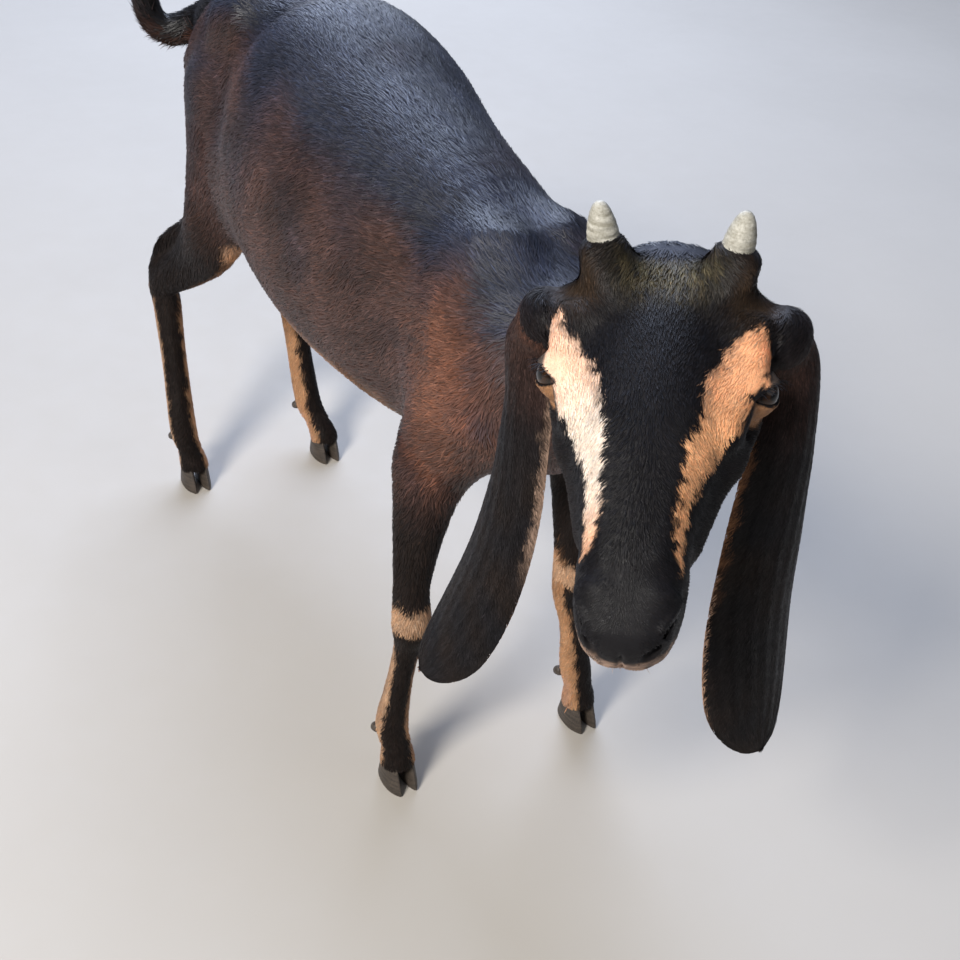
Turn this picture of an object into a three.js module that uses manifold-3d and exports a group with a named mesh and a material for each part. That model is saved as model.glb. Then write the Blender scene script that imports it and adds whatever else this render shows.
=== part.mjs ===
// A Nubian goat kid that stands on all fours and turns its head to its right, life size.
// Millimetres, +Z up. The goat faces -Y, its left side is +X, and its claws stand on z = 0.
import * as THREE from 'three';
import { mergeVertices } from 'three/addons/utils/BufferGeometryUtils.js';
import Module from 'manifold-3d';

const wasm = await Module();
wasm.setup();

// Clearances and fineness
const gap = 0.3; // kept between parts that meet
const cutterSize = 1200; // edge of the blocks that part the body
const leastEdge = 0.05; // shorter edges, which the cuts leave, are drawn together
const cells = { torso: 18, neck: 15, head: 8, tail: 8, foreleg: 10.5, hindleg: 12.5 };

// The middle of the standing animal's box, seen from above, goes over the origin
const boxMiddle = new THREE.Vector3(-34, 119, 0);

// The head: where the poll is and how the head is turned, nosed down and leaned
const poll = new THREE.Vector3(-61, -165, 525);
const headTurn = -40.4;
const headDown = 29.4;
const headLean = -7.2;

// Radii and sizes of the separate small parts
const eyeRadius = 12;
const eyePlace = { side: 42.5, back: -60, up: -23 };
const eyeLook = { side: 0.9, back: -0.24, up: 0.28 };
const hornLength = 15;
const hornRadius = 8.2;
const hornSunk = 4;
const hornPlace = { side: 30.5, back: -5, up: 10 };
const hornRise = { side: 0.16, back: 0.42, up: 0.88 };
const clawLength = 33;
const clawWidth = 12.5;
const clawHeightFront = 23;
const clawHeightBack = 15;
const clawCleft = 2.4;

// Lines of the body. Each row gives a centre x, y, z, then the half width, the size above
// (in front, on a leg) and the size below (behind, on a leg).
const torsoLine = [
  [0, -60, 344, 28, 30, 32],
  [0, -36, 350, 46, 50, 62],
  [0, 10, 356, 55, 70, 92],
  [0, 80, 358, 64, 93, 106],
  [2, 160, 352, 78, 114, 112],
  [9, 240, 350, 90, 132, 110],
  [10, 310, 360, 86, 131, 92],
  [4, 370, 382, 63, 104, 76],
  [0, 425, 392, 48, 70, 62],
  [0, 462, 396, 31, 44, 44],
];
const neckLine = [
  [0, 30, 370, 42, 36, 66],
  [-3, -30, 382, 40, 31, 58],
  [-13, -82, 406, 34, 31, 47],
  [-28, -120, 440, 31, 28, 44],
  [-42, -144, 474, 30, 20, 41],
];
const tailLine = [
  [0, 440, 420, 16, 16, 16],
  [-2, 470, 422, 13, 12, 13],
  [-12, 494, 409, 12, 11, 12],
  [-30, 508, 398, 11, 10, 11],
  [-46, 514, 405, 10, 9, 10],
  [-54, 516, 424, 9, 8, 8],
  [-58, 514, 448, 6, 5, 6],
];

// The two forelegs and the two hind legs as they stand: where each knee or hock, fetlock
// and foot is
const forelegStances = {
  left: { knee: [56, -4], fetlock: [74, -8], foot: [79, -16] },
  right: { knee: [-76, 3], fetlock: [-83, 6], foot: [-80, -4] },
};
const hindlegStances = {
  left: { hock: [50, 467], fetlock: [52, 416], foot: [61, 393] },
  right: { hock: [-71, 462], fetlock: [-76, 417], foot: [-71, 403] },
};

function forelegLine(side, { knee, fetlock, foot }) {
  const cannon = [(knee[0] + fetlock[0]) / 2, (knee[1] + fetlock[1]) / 2];
  return [
    [side * 42, 2, 345, 20, 44, 40],
    [side * 57, 20, 285, 24, 36, 32],
    [side * 64, 20, 240, 19, 25, 23],
    [knee[0] - side, knee[1] + 5, 188, 13, 15, 14],
    [knee[0], knee[1], 156, 14.5, 16, 13],
    [knee[0], knee[1] + 2, 134, 10.5, 11, 11],
    [cannon[0], cannon[1] + 1, 100, 9.5, 10, 11],
    [fetlock[0], fetlock[1], 56, 12.5, 12, 14],
    [(fetlock[0] + foot[0]) / 2, (fetlock[1] + foot[1]) / 2, 38, 11.5, 11, 12],
    [foot[0], foot[1] + 4, 22, 13.5, 14, 14],
    [foot[0], foot[1] + 2, 15, 13, 13, 14],
  ];
}

function hindlegLine(side, { hock, fetlock, foot }) {
  const cannon = [(hock[0] + fetlock[0]) / 2, (hock[1] + fetlock[1]) / 2];
  return [
    [side * 30, 404, 386, 24, 46, 48],
    [side * 42, 384, 330, 25, 54, 54],
    [side * 53, 386, 278, 22, 42, 42],
    [side * 60, 414, 232, 15, 24, 26],
    [hock[0], hock[1] - 4, 192, 13.5, 17, 18],
    [hock[0], hock[1] - 7, 168, 12.5, 15, 16],
    [cannon[0], cannon[1] - 2, 116, 11.5, 13, 15],
    [fetlock[0], fetlock[1], 57, 12.5, 13, 14],
    [(fetlock[0] + foot[0]) / 2, (fetlock[1] + foot[1]) / 2, 39, 11.5, 11, 12],
    [foot[0], foot[1] + 4, 22, 13.5, 14, 14],
    [foot[0], foot[1] + 2, 15, 13, 13, 14],
  ];
}

// Lines of the head in its own frame, whose origin is the poll: x to its left, -y to the
// nose, z out of the forehead
const skullLine = [
  [0, 4, -34, 28, 21, 32],
  [0, -12, -32, 38, 29, 42],
  [0, -38, -33, 41, 38, 46],
  [0, -70, -34, 41, 42, 45],
  [0, -105, -34, 32, 41, 36],
  [0, -138, -33, 25, 33, 28],
  [0, -163, -33, 24, 25, 23],
  [0, -178, -34, 20, 20, 19],
];
const headForms = [
  // the pedestals under the horns
  { blend: 14, line: [[24, -22, -9, 15, 13, 13], [30, -8, 4, 12, 12, 12]] },
  // the stubs that carry the ears
  { blend: 14, line: [[30, -24, -26, 16, 15, 15], [58, -30, -24, 13, 13, 13]] },
  // the brow over each eye and the rim under it
  { blend: 12, line: [[38, -38, -11, 11, 10, 11], [41, -57, -13, 9, 8, 9], [32, -84, -18, 9, 9, 9]] },
  { blend: 12, line: [[42, -49, -36, 10, 10, 10], [41, -69, -39, 8, 8, 8], [33, -89, -39, 8, 8, 8]] },
  // the cheek bone, the cheek muscle and the lower jaw
  { blend: 14, line: [[31, -88, -38, 8, 8, 8], [20, -130, -40, 6, 6, 6]] },
  { blend: 16, line: [[24, -22, -52, 16, 20, 22], [24, -52, -56, 14, 18, 18]] },
  { blend: 12, line: [[20, -20, -66, 11, 11, 12], [17, -72, -64, 9, 9, 10], [9, -130, -54, 8, 8, 8]] },
  // the wings of the nostrils, the upper lip and the chin
  { blend: 7, line: [[12.5, -164, -18, 8, 8, 8], [10, -178, -25, 8, 8, 8]] },
  { blend: 7, line: [[15, -150, -38, 8, 8, 8], [12, -172, -39, 8, 8, 7], [4, -182, -39, 7.5, 8, 7]] },
  { blend: 7, line: [[6, -146, -54, 7, 7, 7], [4, -170, -51, 9, 8, 8]] },
];

// Small vector helpers on [x, y, z]
const minus = (a, b) => [a[0] - b[0], a[1] - b[1], a[2] - b[2]];
const dot = (a, b) => a[0] * b[0] + a[1] * b[1] + a[2] * b[2];
const along = (a, direction, distance) => a.map((value, i) => value + direction[i] * distance);
const cross = (a, b) => [
  a[1] * b[2] - a[2] * b[1],
  a[2] * b[0] - a[0] * b[2],
  a[0] * b[1] - a[1] * b[0],
];
const unit = (a) => {
  const length = Math.hypot(...a);
  return a.map((value) => value / length);
};
const mix = (from, to, t) => from.map((value, i) => value + (to[i] - value) * t);
const degrees = THREE.MathUtils.degToRad;
const smooth = (t) => THREE.MathUtils.smoothstep(t, 0, 1);

// Rows of numbers read along a Catmull-Rom curve through the given rows
function curveThrough(rows, stepsBetween) {
  const fine = [];
  for (let i = 0; i + 1 < rows.length; i++) {
    const before = rows[Math.max(i - 1, 0)];
    const after = rows[Math.min(i + 2, rows.length - 1)];
    for (let step = 0; step < stepsBetween; step++) {
      const t = step / stepsBetween;
      fine.push(rows[i].map((from, k) => {
        const to = rows[i + 1][k];
        const slopeIn = (to - before[k]) / 2;
        const slopeOut = (after[k] - from) / 2;
        const bend = 3 * (to - from) - 2 * slopeIn - slopeOut;
        const twist = 2 * (from - to) + slopeIn + slopeOut;
        return from + t * (slopeIn + t * (bend + t * twist));
      }));
    }
  }
  fine.push(rows[rows.length - 1]);
  return fine;
}

// Signed distance, negative inside, to a tapered form of oval sections along a line, with
// ends that round off within a share of the last half width
const endCap = 0.7;
function sweepField(rows, upHint, fullness = 2, stepsBetween = 3) {
  const fine = curveThrough(rows, stepsBetween);
  const pieces = [];
  for (let i = 0; i + 1 < fine.length; i++) {
    const [from, to] = [fine[i], fine[i + 1]];
    const length = Math.hypot(to[0] - from[0], to[1] - from[1], to[2] - from[2]);
    const axis = unit(minus(to, from).slice(0, 3));
    const up = unit(along(upHint, axis, -dot(axis, upHint)));
    pieces.push({ from, to, length, axis, up, side: cross(axis, up) });
  }
  return (point) => {
    let nearest = Infinity;
    for (const { from, to, length, axis, up, side } of pieces) {
      const offset = minus(point, from);
      const reach = dot(offset, axis) / length;
      const t = Math.min(Math.max(reach, 0), 1);
      const beyond = (reach - t) * length;
      const across = dot(offset, side);
      const height = dot(offset, up);
      const halfWidth = from[3] + (to[3] - from[3]) * t;
      const sizeIndex = height > 0 ? 4 : 5;
      const halfHeight = from[sizeIndex] + (to[sizeIndex] - from[sizeIndex]) * t;
      const section = Math.pow(
        Math.pow(Math.abs(across / halfWidth), fullness) +
        Math.pow(Math.abs(height / halfHeight), fullness), 1 / fullness);
      const cap = endCap * Math.min(halfWidth, halfHeight);
      const size = Math.hypot(section, beyond / cap);
      const far = Math.hypot(across, height, beyond);
      const distance = size > 1e-6 ? far * (1 - 1 / size) : -Math.min(halfWidth, halfHeight);
      nearest = Math.min(nearest, distance);
    }
    return nearest;
  };
}

// Joins two distances with a fillet as wide as the blend
function blended(a, b, width) {
  const overlap = Math.max(width - Math.abs(a - b), 0) / width;
  return Math.min(a, b) - overlap * overlap * width / 4;
}

const headGroup = new THREE.Group();
headGroup.position.copy(poll);
headGroup.rotation.set(degrees(headDown), degrees(headLean), degrees(headTurn), 'ZXY');
headGroup.updateMatrixWorld(true);
const bodyToHead = headGroup.matrixWorld.clone().invert().elements;
const headToBody = headGroup.matrixWorld.elements;
const transformed = (m, p) => [
  m[0] * p[0] + m[4] * p[1] + m[8] * p[2] + m[12],
  m[1] * p[0] + m[5] * p[1] + m[9] * p[2] + m[13],
  m[2] * p[0] + m[6] * p[1] + m[10] * p[2] + m[14],
];
const mirrored = (rows, side) => rows.map((row) => [row[0] * side, ...row.slice(1)]);

const upward = [0, 0, 1];
const forward = [0, -1, 0];
const tailUp = [0, 0.5, 0.86];
const sides = { left: 1, right: -1 };

// The flesh of the whole animal as one field in the body's frame
const trunkField = sweepField(torsoLine, upward, 2.45);
const neckField = sweepField(neckLine, upward);
const tailField = sweepField(tailLine, tailUp);
const skullField = sweepField(skullLine, upward, 2.2);
const headFields = headForms.map(({ blend, line }) => ({
  blend,
  fields: [1, -1].map((side) => sweepField(mirrored(line, side), upward)),
}));
const limbFields = [];
for (const [name, side] of Object.entries(sides)) {
  // the flat of the shoulder blade, the leg, and the tendon behind the hock
  const blade = [[26, 26, 420, 13, 28, 30], [45, -8, 380, 16, 38, 36], [50, -32, 338, 18, 30, 34]];
  limbFields.push({ blend: 30, field: sweepField(mirrored(blade, side), forward) });
  limbFields.push({ blend: 30, field: sweepField(forelegLine(side, forelegStances[name]), forward, 2, 4) });
  limbFields.push({ blend: 34, field: sweepField(hindlegLine(side, hindlegStances[name]), forward, 2, 4) });
  const hock = hindlegStances[name].hock;
  const tendon = [
    [side * 54, 424, 262, 9, 9, 9],
    [hock[0] * 0.97, hock[1] + 3, 226, 6, 7, 7],
    [hock[0], hock[1] + 9, 200, 8, 8, 8],
  ];
  limbFields.push({ blend: 12, field: sweepField(tendon, forward) });
}
// the hip bones and the seat bones
for (const side of Object.values(sides)) {
  const hip = [[side * 36, 348, 462, 12, 12, 12], [side * 32, 390, 446, 12, 12, 12]];
  const seat = [[side * 26, 446, 402, 12, 12, 12], [side * 30, 462, 386, 11, 11, 11]];
  limbFields.push({ blend: 26, field: sweepField(hip, upward) });
  limbFields.push({ blend: 22, field: sweepField(seat, upward) });
}

function bodyField(point) {
  let distance = blended(trunkField(point), neckField(point), 46);
  for (const { blend, field } of limbFields) {
    distance = blended(distance, field(point), blend);
  }
  distance = blended(distance, tailField(point), 18);
  const inHead = transformed(bodyToHead, point);
  let head = skullField(inHead);
  for (const { blend, fields } of headFields) {
    for (const field of fields) {
      head = blended(head, field(inHead), blend);
    }
  }
  return blended(distance, head, 22);
}
const headField = (point) => bodyField(transformed(headToBody, point));

// A closed solid from points and triangles, turned right side out
function solidFrom(points, triangles) {
  const geometry = new THREE.BufferGeometry();
  geometry.setAttribute('position', new THREE.Float32BufferAttribute(points.flat(), 3));
  geometry.setIndex(triangles.flat());
  return solidOf(geometry);
}

function solidOf(geometry) {
  const bare = geometry.clone();
  bare.deleteAttribute('normal');
  bare.deleteAttribute('uv');
  const merged = mergeVertices(bare, 1e-4);
  const vertProperties = merged.attributes.position.array;
  const make = (index) => new wasm.Manifold(
    new wasm.Mesh({ numProp: 3, vertProperties, triVerts: new Uint32Array(index) }));
  const solid = make(merged.index.array);
  if (solid.volume() > 0) return solid;
  return make(Array.from(merged.index.array).reverse());
}

const largestOf = (solid) => solid.decompose().sort((a, b) => b.volume() - a.volume())[0];

// A big block that fills the half of space on the side that the direction points to
function halfSpace(at, direction) {
  const block = new THREE.BoxGeometry(cutterSize, cutterSize, cutterSize);
  block.translate(0, 0, cutterSize / 2);
  const turn = new THREE.Quaternion().setFromUnitVectors(
    new THREE.Vector3(0, 0, 1), new THREE.Vector3(...unit(direction)));
  block.applyQuaternion(turn);
  block.translate(...at);
  return solidOf(block);
}

// The corners, edges and faces of a grid cell. A face lists its corners in a ring.
const cellCorners = [0, 1, 2, 3, 4, 5, 6, 7].map((c) => [c & 1, (c >> 1) & 1, c >> 2]);
const cellEdges = [];
for (let a = 0; a < 8; a++) {
  for (const bit of [1, 2, 4]) {
    if (!(a & bit)) cellEdges.push([a, a | bit]);
  }
}
const edgeBetween = (a, b) => cellEdges.findIndex(([m, n]) => m === Math.min(a, b) && n === Math.max(a, b));
const cellFaces = [[0, 1, 3, 2], [4, 5, 7, 6], [0, 1, 5, 4], [2, 3, 7, 6], [0, 2, 6, 4], [1, 3, 7, 5]];

// The edges of a cell that the surface crosses, grouped into the sheets that cross it
function sheetsOf(inside) {
  const sheet = cellEdges.map((_, e) => e);
  const join = (e, f) => {
    const [keep, drop] = [sheet[e], sheet[f]];
    sheet.forEach((value, i) => {
      if (value === drop) sheet[i] = keep;
    });
  };
  for (const ring of cellFaces) {
    const around = ring.map((corner, i) => edgeBetween(corner, ring[(i + 1) % 4]));
    const crossed = around.filter((_, i) => inside[ring[i]] !== inside[ring[(i + 1) % 4]]);
    if (crossed.length === 2) join(crossed[0], crossed[1]);
    if (crossed.length === 4) {
      ring.forEach((corner, i) => {
        if (inside[corner]) join(around[i], around[(i + 3) % 4]);
      });
    }
  }
  return sheet;
}

// The surface of a field inside a box, as a mesh of quads split in two
function surfaceOf(field, low, high, cell) {
  const counts = low.map((value, i) => Math.ceil((high[i] - value) / cell) + 1);
  const number = (p) => (p[2] * counts[1] + p[1]) * counts[0] + p[0];
  const place = (p) => low.map((value, i) => value + p[i] * cell);
  const lattice = [];
  for (let k = 0; k < counts[2]; k++) {
    for (let j = 0; j < counts[1]; j++) {
      for (let i = 0; i < counts[0]; i++) lattice.push([i, j, k]);
    }
  }
  const onRim = (p, margin) => p.some((value, i) => value < margin || value > counts[i] - 1 - margin);
  const closing = cell * 0.2;
  const values = lattice.map((p) => {
    const distance = field(place(p));
    return onRim(p, 1) ? Math.max(distance, closing) : distance;
  });
  const probe = 0.4;
  const slopeAt = (p) => [0, 1, 2].map((axis) => {
    const step = [0, 0, 0];
    step[axis] = probe;
    return (field(along(p, step, 1)) - field(along(p, step, -1))) / (2 * probe);
  });
  const settled = (start) => {
    let point = start;
    for (let pass = 0; pass < 3; pass++) {
      const slope = slopeAt(point);
      const steep = Math.max(dot(slope, slope), 0.2);
      const step = THREE.MathUtils.clamp(field(point) / steep, -cell / 3, cell / 3);
      point = along(point, slope, -step);
    }
    return point;
  };
  const points = [];
  const pointOf = new Map();
  for (const p of lattice) {
    if (p.some((value, i) => value + 1 >= counts[i])) continue;
    const cornersAt = cellCorners.map((corner) => along(p, corner, 1));
    const inside = cornersAt.map((corner) => values[number(corner)] < 0);
    if (inside.every((value) => value === inside[0])) continue;
    const sheet = sheetsOf(inside);
    const hits = new Map();
    cellEdges.forEach(([a, b], e) => {
      if (inside[a] === inside[b]) return;
      const [va, vb] = [values[number(cornersAt[a])], values[number(cornersAt[b])]];
      const hit = mix(place(cornersAt[a]), place(cornersAt[b]), va / (va - vb));
      if (!hits.has(sheet[e])) hits.set(sheet[e], []);
      hits.get(sheet[e]).push(hit);
      pointOf.set(number(p) * 12 + e, sheet[e]);
    });
    const sheetPoint = new Map();
    for (const [name, list] of hits) {
      const middle = list.reduce((sum, hit) => along(sum, hit, 1 / list.length), [0, 0, 0]);
      sheetPoint.set(name, points.length);
      points.push(onRim(p, 1) || onRim(along(p, [1, 1, 1], 1), 1) ? middle : settled(middle));
    }
    cellEdges.forEach((_, e) => {
      const key = number(p) * 12 + e;
      if (pointOf.has(key)) pointOf.set(key, sheetPoint.get(pointOf.get(key)));
    });
  }
  const triangles = [];
  for (const p of lattice) {
    for (const axis of [0, 1, 2]) {
      const [second, third] = [(axis + 1) % 3, (axis + 2) % 3];
      if (p[axis] + 1 >= counts[axis]) continue;
      if ([second, third].some((i) => p[i] === 0 || p[i] === counts[i] - 1)) continue;
      const next = [...p];
      next[axis] += 1;
      const here = values[number(p)] < 0;
      if (here === values[number(next)] < 0) continue;
      const quad = [[1, 1], [0, 1], [0, 0], [1, 0]].map(([backSecond, backThird]) => {
        const owner = [...p];
        owner[second] -= backSecond;
        owner[third] -= backThird;
        const corner = (backSecond << second) | (backThird << third);
        return pointOf.get(number(owner) * 12 + edgeBetween(corner, corner | (1 << axis)));
      });
      const [a, b, c, d] = here ? quad : [...quad].reverse();
      const acrossAC = Math.hypot(...minus(points[a], points[c]));
      const acrossBD = Math.hypot(...minus(points[b], points[d]));
      if (acrossAC < acrossBD) triangles.push([a, b, c], [a, c, d]);
      else triangles.push([a, b, d], [b, c, d]);
    }
  }
  return solidFrom(points, triangles);
}

// A solid through rings of points, closed at both ends by a fan
function loft(rings) {
  const points = rings.flat();
  const around = rings[0].length;
  const triangles = [];
  for (let i = 0; i + 1 < rings.length; i++) {
    for (let j = 0; j < around; j++) {
      const a = i * around + j;
      const b = i * around + (j + 1) % around;
      triangles.push([a, b, b + around], [a, b + around, a + around]);
    }
  }
  const last = (rings.length - 1) * around;
  for (let j = 1; j + 1 < around; j++) {
    triangles.push([0, j + 1, j], [last, last + j, last + j + 1]);
  }
  return solidFrom(points, triangles);
}

// An oval ring of points round a centre
function ovalRing(centre, side, up, halfSide, halfUp, count) {
  return Array.from({ length: count }, (_, j) => {
    const angle = (j / count) * 2 * Math.PI;
    return along(along(centre, side, halfSide * Math.cos(angle)), up, halfUp * Math.sin(angle));
  });
}

// A tube of oval sections through rows of x, y, z, half width, half height
function taperedTube(rows, upHint, count) {
  const rings = rows.map((row, i) => {
    const ahead = rows[Math.min(i + 1, rows.length - 1)];
    const behind = rows[Math.max(i - 1, 0)];
    const axis = unit(minus(ahead, behind).slice(0, 3));
    const up = unit(along(upHint, axis, -dot(axis, upHint)));
    return ovalRing(row.slice(0, 3), cross(axis, up), up, row[3], row[4], count);
  });
  return loft(rings);
}

// Where the surface of a field lies on the way from an inner point outwards
function surfacePoint(field, inside, direction, reach) {
  let [near, far] = [0, reach];
  for (let pass = 0; pass < 30; pass++) {
    const middle = (near + far) / 2;
    if (field(along(inside, direction, middle)) < 0) near = middle;
    else far = middle;
  }
  return along(inside, direction, near);
}

// Cuts
// Every cut is a plane given by a point on it and the direction of the outer part.
const headCut = { at: [0, 3, -40], facing: [0, -0.97, 0.12] };
const neckCut = { at: [0, -40, 400], facing: [-0.12, -0.86, 0.5] };
const tailCut = { at: [-1, 468, 408], facing: [-0.05, 0.76, 0.64] };
const legCuts = {
  foreleg: (side) => [
    { at: [side * 40, 20, 262], facing: [side * 0.72, 0, -0.7] },
    { at: [side * 24, 20, 262], facing: [side, 0, 0] },
  ],
  hindleg: (side) => [
    { at: [side * 26, 400, 300], facing: [side * 0.86, 0, -0.5] },
    { at: [side * 60, 324, 285], facing: [0, 0.9, -0.42] },
    { at: [side * 6, 400, 300], facing: [side, 0, 0] },
  ],
};
const shifted = ({ at, facing }, distance) => halfSpace(along(at, unit(facing), distance), facing);
const outerPart = (solid, cut) => solid.intersect(shifted(cut, gap / 2));
const innerPart = (solid, cut) => solid.subtract(shifted(cut, -gap / 2));

function wedge(cuts, distance) {
  return cuts.map((cut) => shifted(cut, distance)).reduce((a, b) => a.intersect(b));
}

// Claws
// Two claws carry each foot. Each is a wedge with a flat sole, a flat inner side towards
// the cleft and a slanted crown.
function clawSolid(foot, cleftSide, grow = 0) {
  const outline = (angle) => {
    const across = Math.sin(angle);
    const ahead = Math.cos(angle);
    const half = (clawWidth / 2 + grow) * (ahead > 0 ? 1 - 0.45 * ahead ** 3 : 1);
    const flat = across * cleftSide > 0 ? 0.72 : 1;
    return [across * half * flat, -ahead * (clawLength / 2 + grow)];
  };
  const around = 12;
  const levels = [[0, 0.92], [0.1, 1], [1, 0.86]];
  const rings = levels.map(([level, spread]) => Array.from({ length: around }, (_, j) => {
    const [x, y] = outline((j / around) * 2 * Math.PI);
    const front = 0.5 - y / clawLength;
    const height = clawHeightBack + (clawHeightFront - clawHeightBack) * front + grow;
    const z = level * height;
    const leanBack = level * 8 * front;
    return [x * spread, y * spread + leanBack, level === 0 ? -grow : z];
  }));
  const centre = foot[0] - cleftSide * (clawWidth * 0.43 + clawCleft / 2);
  return loft(rings.map((ring) => ring.map(([x, y, z]) => [x + centre, y + foot[1], z])));
}

// Horns
function hornSolid(side, grow = 0) {
  const base = [side * hornPlace.side, hornPlace.back, hornPlace.up];
  const rise = unit([side * hornRise.side, hornRise.back, hornRise.up]);
  const taper = [[0, 1], [0.3, 0.98], [0.55, 0.86], [0.78, 0.66], [0.93, 0.44], [1, 0.2]];
  const rows = taper.map(([t, thick]) => {
    const centre = along(base, rise, t * (hornLength + hornSunk) - hornSunk - (t === 0 ? grow : 0));
    centre[1] += 2.5 * t * t;
    return [...centre, hornRadius * thick + grow, hornRadius * thick * 0.92 + grow];
  });
  return taperedTube(rows, [side, 0, 0], 10);
}

// Eyes and lids
const eyeCentre = (side) => [side * eyePlace.side, eyePlace.back, eyePlace.up];
const eyeAxes = (side) => {
  const look = unit([side * eyeLook.side, eyeLook.back, eyeLook.up]);
  const ahead = unit(along([0, -1, 0], look, look[1]));
  return { look, ahead, above: cross(look, ahead).map((value) => -side * value) };
};

function ball(centre, radius) {
  const sphere = new THREE.SphereGeometry(radius, 13, 8);
  sphere.translate(...centre);
  return solidOf(sphere);
}

// A lid runs over the ball from the front corner of the eye to the back one
function lidSolid(side, upperOrLower, opening, thick) {
  const { look, ahead, above } = eyeAxes(side);
  const centre = eyeCentre(side);
  const stops = 9;
  const rows = Array.from({ length: stops }, (_, i) => {
    const t = i / (stops - 1);
    const sweep = degrees(72 - 144 * t);
    const lift = upperOrLower * degrees(opening) * Math.cos(sweep * 1.15);
    const flat = Math.cos(lift) * Math.cos(sweep);
    const direction = unit([0, 1, 2].map((k) =>
      look[k] * flat + ahead[k] * Math.sin(sweep) * Math.cos(lift) + above[k] * Math.sin(lift)));
    const size = thick * (0.45 + 0.55 * Math.sin(Math.PI * t));
    return [...along(centre, direction, eyeRadius + gap + size * 0.8), size * 2, size];
  });
  return taperedTube(rows, look, 7);
}

// Nostrils and mouth
// A nostril is a comma-shaped hollow that runs up and back into the muzzle.
function nostrilSolid(side) {
  const rows = [
    [side * 8.5, -197, -31, 2.4, 2],
    [side * 11, -188, -26, 3.2, 2.8],
    [side * 15, -178, -20, 2.8, 3.2],
    [side * 18, -171, -20, 2, 2.4],
    [side * 19.5, -165, -23, 0.7, 1],
  ];
  return taperedTube(rows, [side * 0.6, -0.5, 0.6], 8);
}

// The line of the mouth is a groove along the muzzle at the height of the lips
function mouthSolid() {
  const lineHeight = (t) => -45.5 - 3.5 * Math.abs(t) ** 3;
  const depth = 3.2;
  const halfOpening = 0.9;
  const outside = 1.5;
  const stops = 17;
  const rings = Array.from({ length: stops }, (_, i) => {
    const t = (i / (stops - 1)) * 2 - 1;
    const angle = t * degrees(128);
    const direction = unit([Math.sin(angle), -Math.cos(angle) - 0.35, 0]);
    const middle = [0, -150 - 12 * Math.cos(angle), lineHeight(t)];
    const lip = surfacePoint(headField, middle, direction, 60);
    const narrow = 1 - 0.7 * t ** 8;
    return [
      along(along(lip, direction, outside), upward, halfOpening * narrow * 1.5),
      along(along(lip, direction, outside), upward, -halfOpening * narrow * 1.5),
      along(lip, direction, -depth * narrow),
    ];
  });
  return loft(rings);
}

// Ears
// An ear is a sheet that hangs from its stub. Its ridge faces out and forward, and it
// curls round a hollow that faces the cheek: almost a tube at the root, open at the tip.
const earRootSide = 55.2;
const earRows = 16;
const earColumns = 8;
const earRowSpread = 1.25; // rows lie closer towards the tip
const cheekClearance = 1;
const earThickness = 3.6;
const earShape = [
  // way down, half width unrolled, half angle of the curl, thickness
  [0, 33, 2.75, 10],
  [0.07, 31, 2.2, 7],
  [0.16, 29, 1.6, 5],
  [0.3, 31, 1.25, earThickness],
  [0.5, 36, 1.05, earThickness],
  [0.7, 38, 0.85, earThickness],
  [0.84, 36, 0.74, earThickness],
  [1, 30, 0.7, earThickness],
];
// How broad each ear shows, how far out it bends, how it leans out below its bend, flares at
// its tip and swings forward, how far it hangs, and how many degrees its face turns from
// outward to forward
const earSwing = {
  left: { breadth: 1, bendSide: 66.5, lean: 13, flare: 18, swing: 10, drop: 240, faceTurn: 42 },
  right: { breadth: 0.9, bendSide: 71.5, lean: -2, flare: 33, swing: -4, drop: 229, faceTurn: 28 },
};

function earRidge(name) {
  const side = sides[name];
  const inBody = (x, y, z) => transformed(headToBody, [side * x, y, z]);
  const root = inBody(earRootSide + gap, -30, -11);
  const turn = degrees(headTurn);
  const outward = [side * Math.cos(turn), side * Math.sin(turn), 0];
  const ahead = [Math.sin(turn), -Math.cos(turn), 0];
  const { bendSide, lean, flare, swing, drop } = earSwing[name];
  const shoulder = inBody(bendSide * 0.6 + earRootSide * 0.4, -34, -20);
  const bend = inBody(bendSide, -38, -38);
  const hang = [0.15, 0.4, 0.65, 0.85, 1].map((t) => {
    const swung = along(bend, outward, lean * smooth(t / 0.25) + flare * t ** 3);
    return along(along(swung, ahead, swing * t), upward, -drop * t);
  });
  return { path: [root, shoulder, bend, ...hang], outward, ahead, inBody };
}

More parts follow.
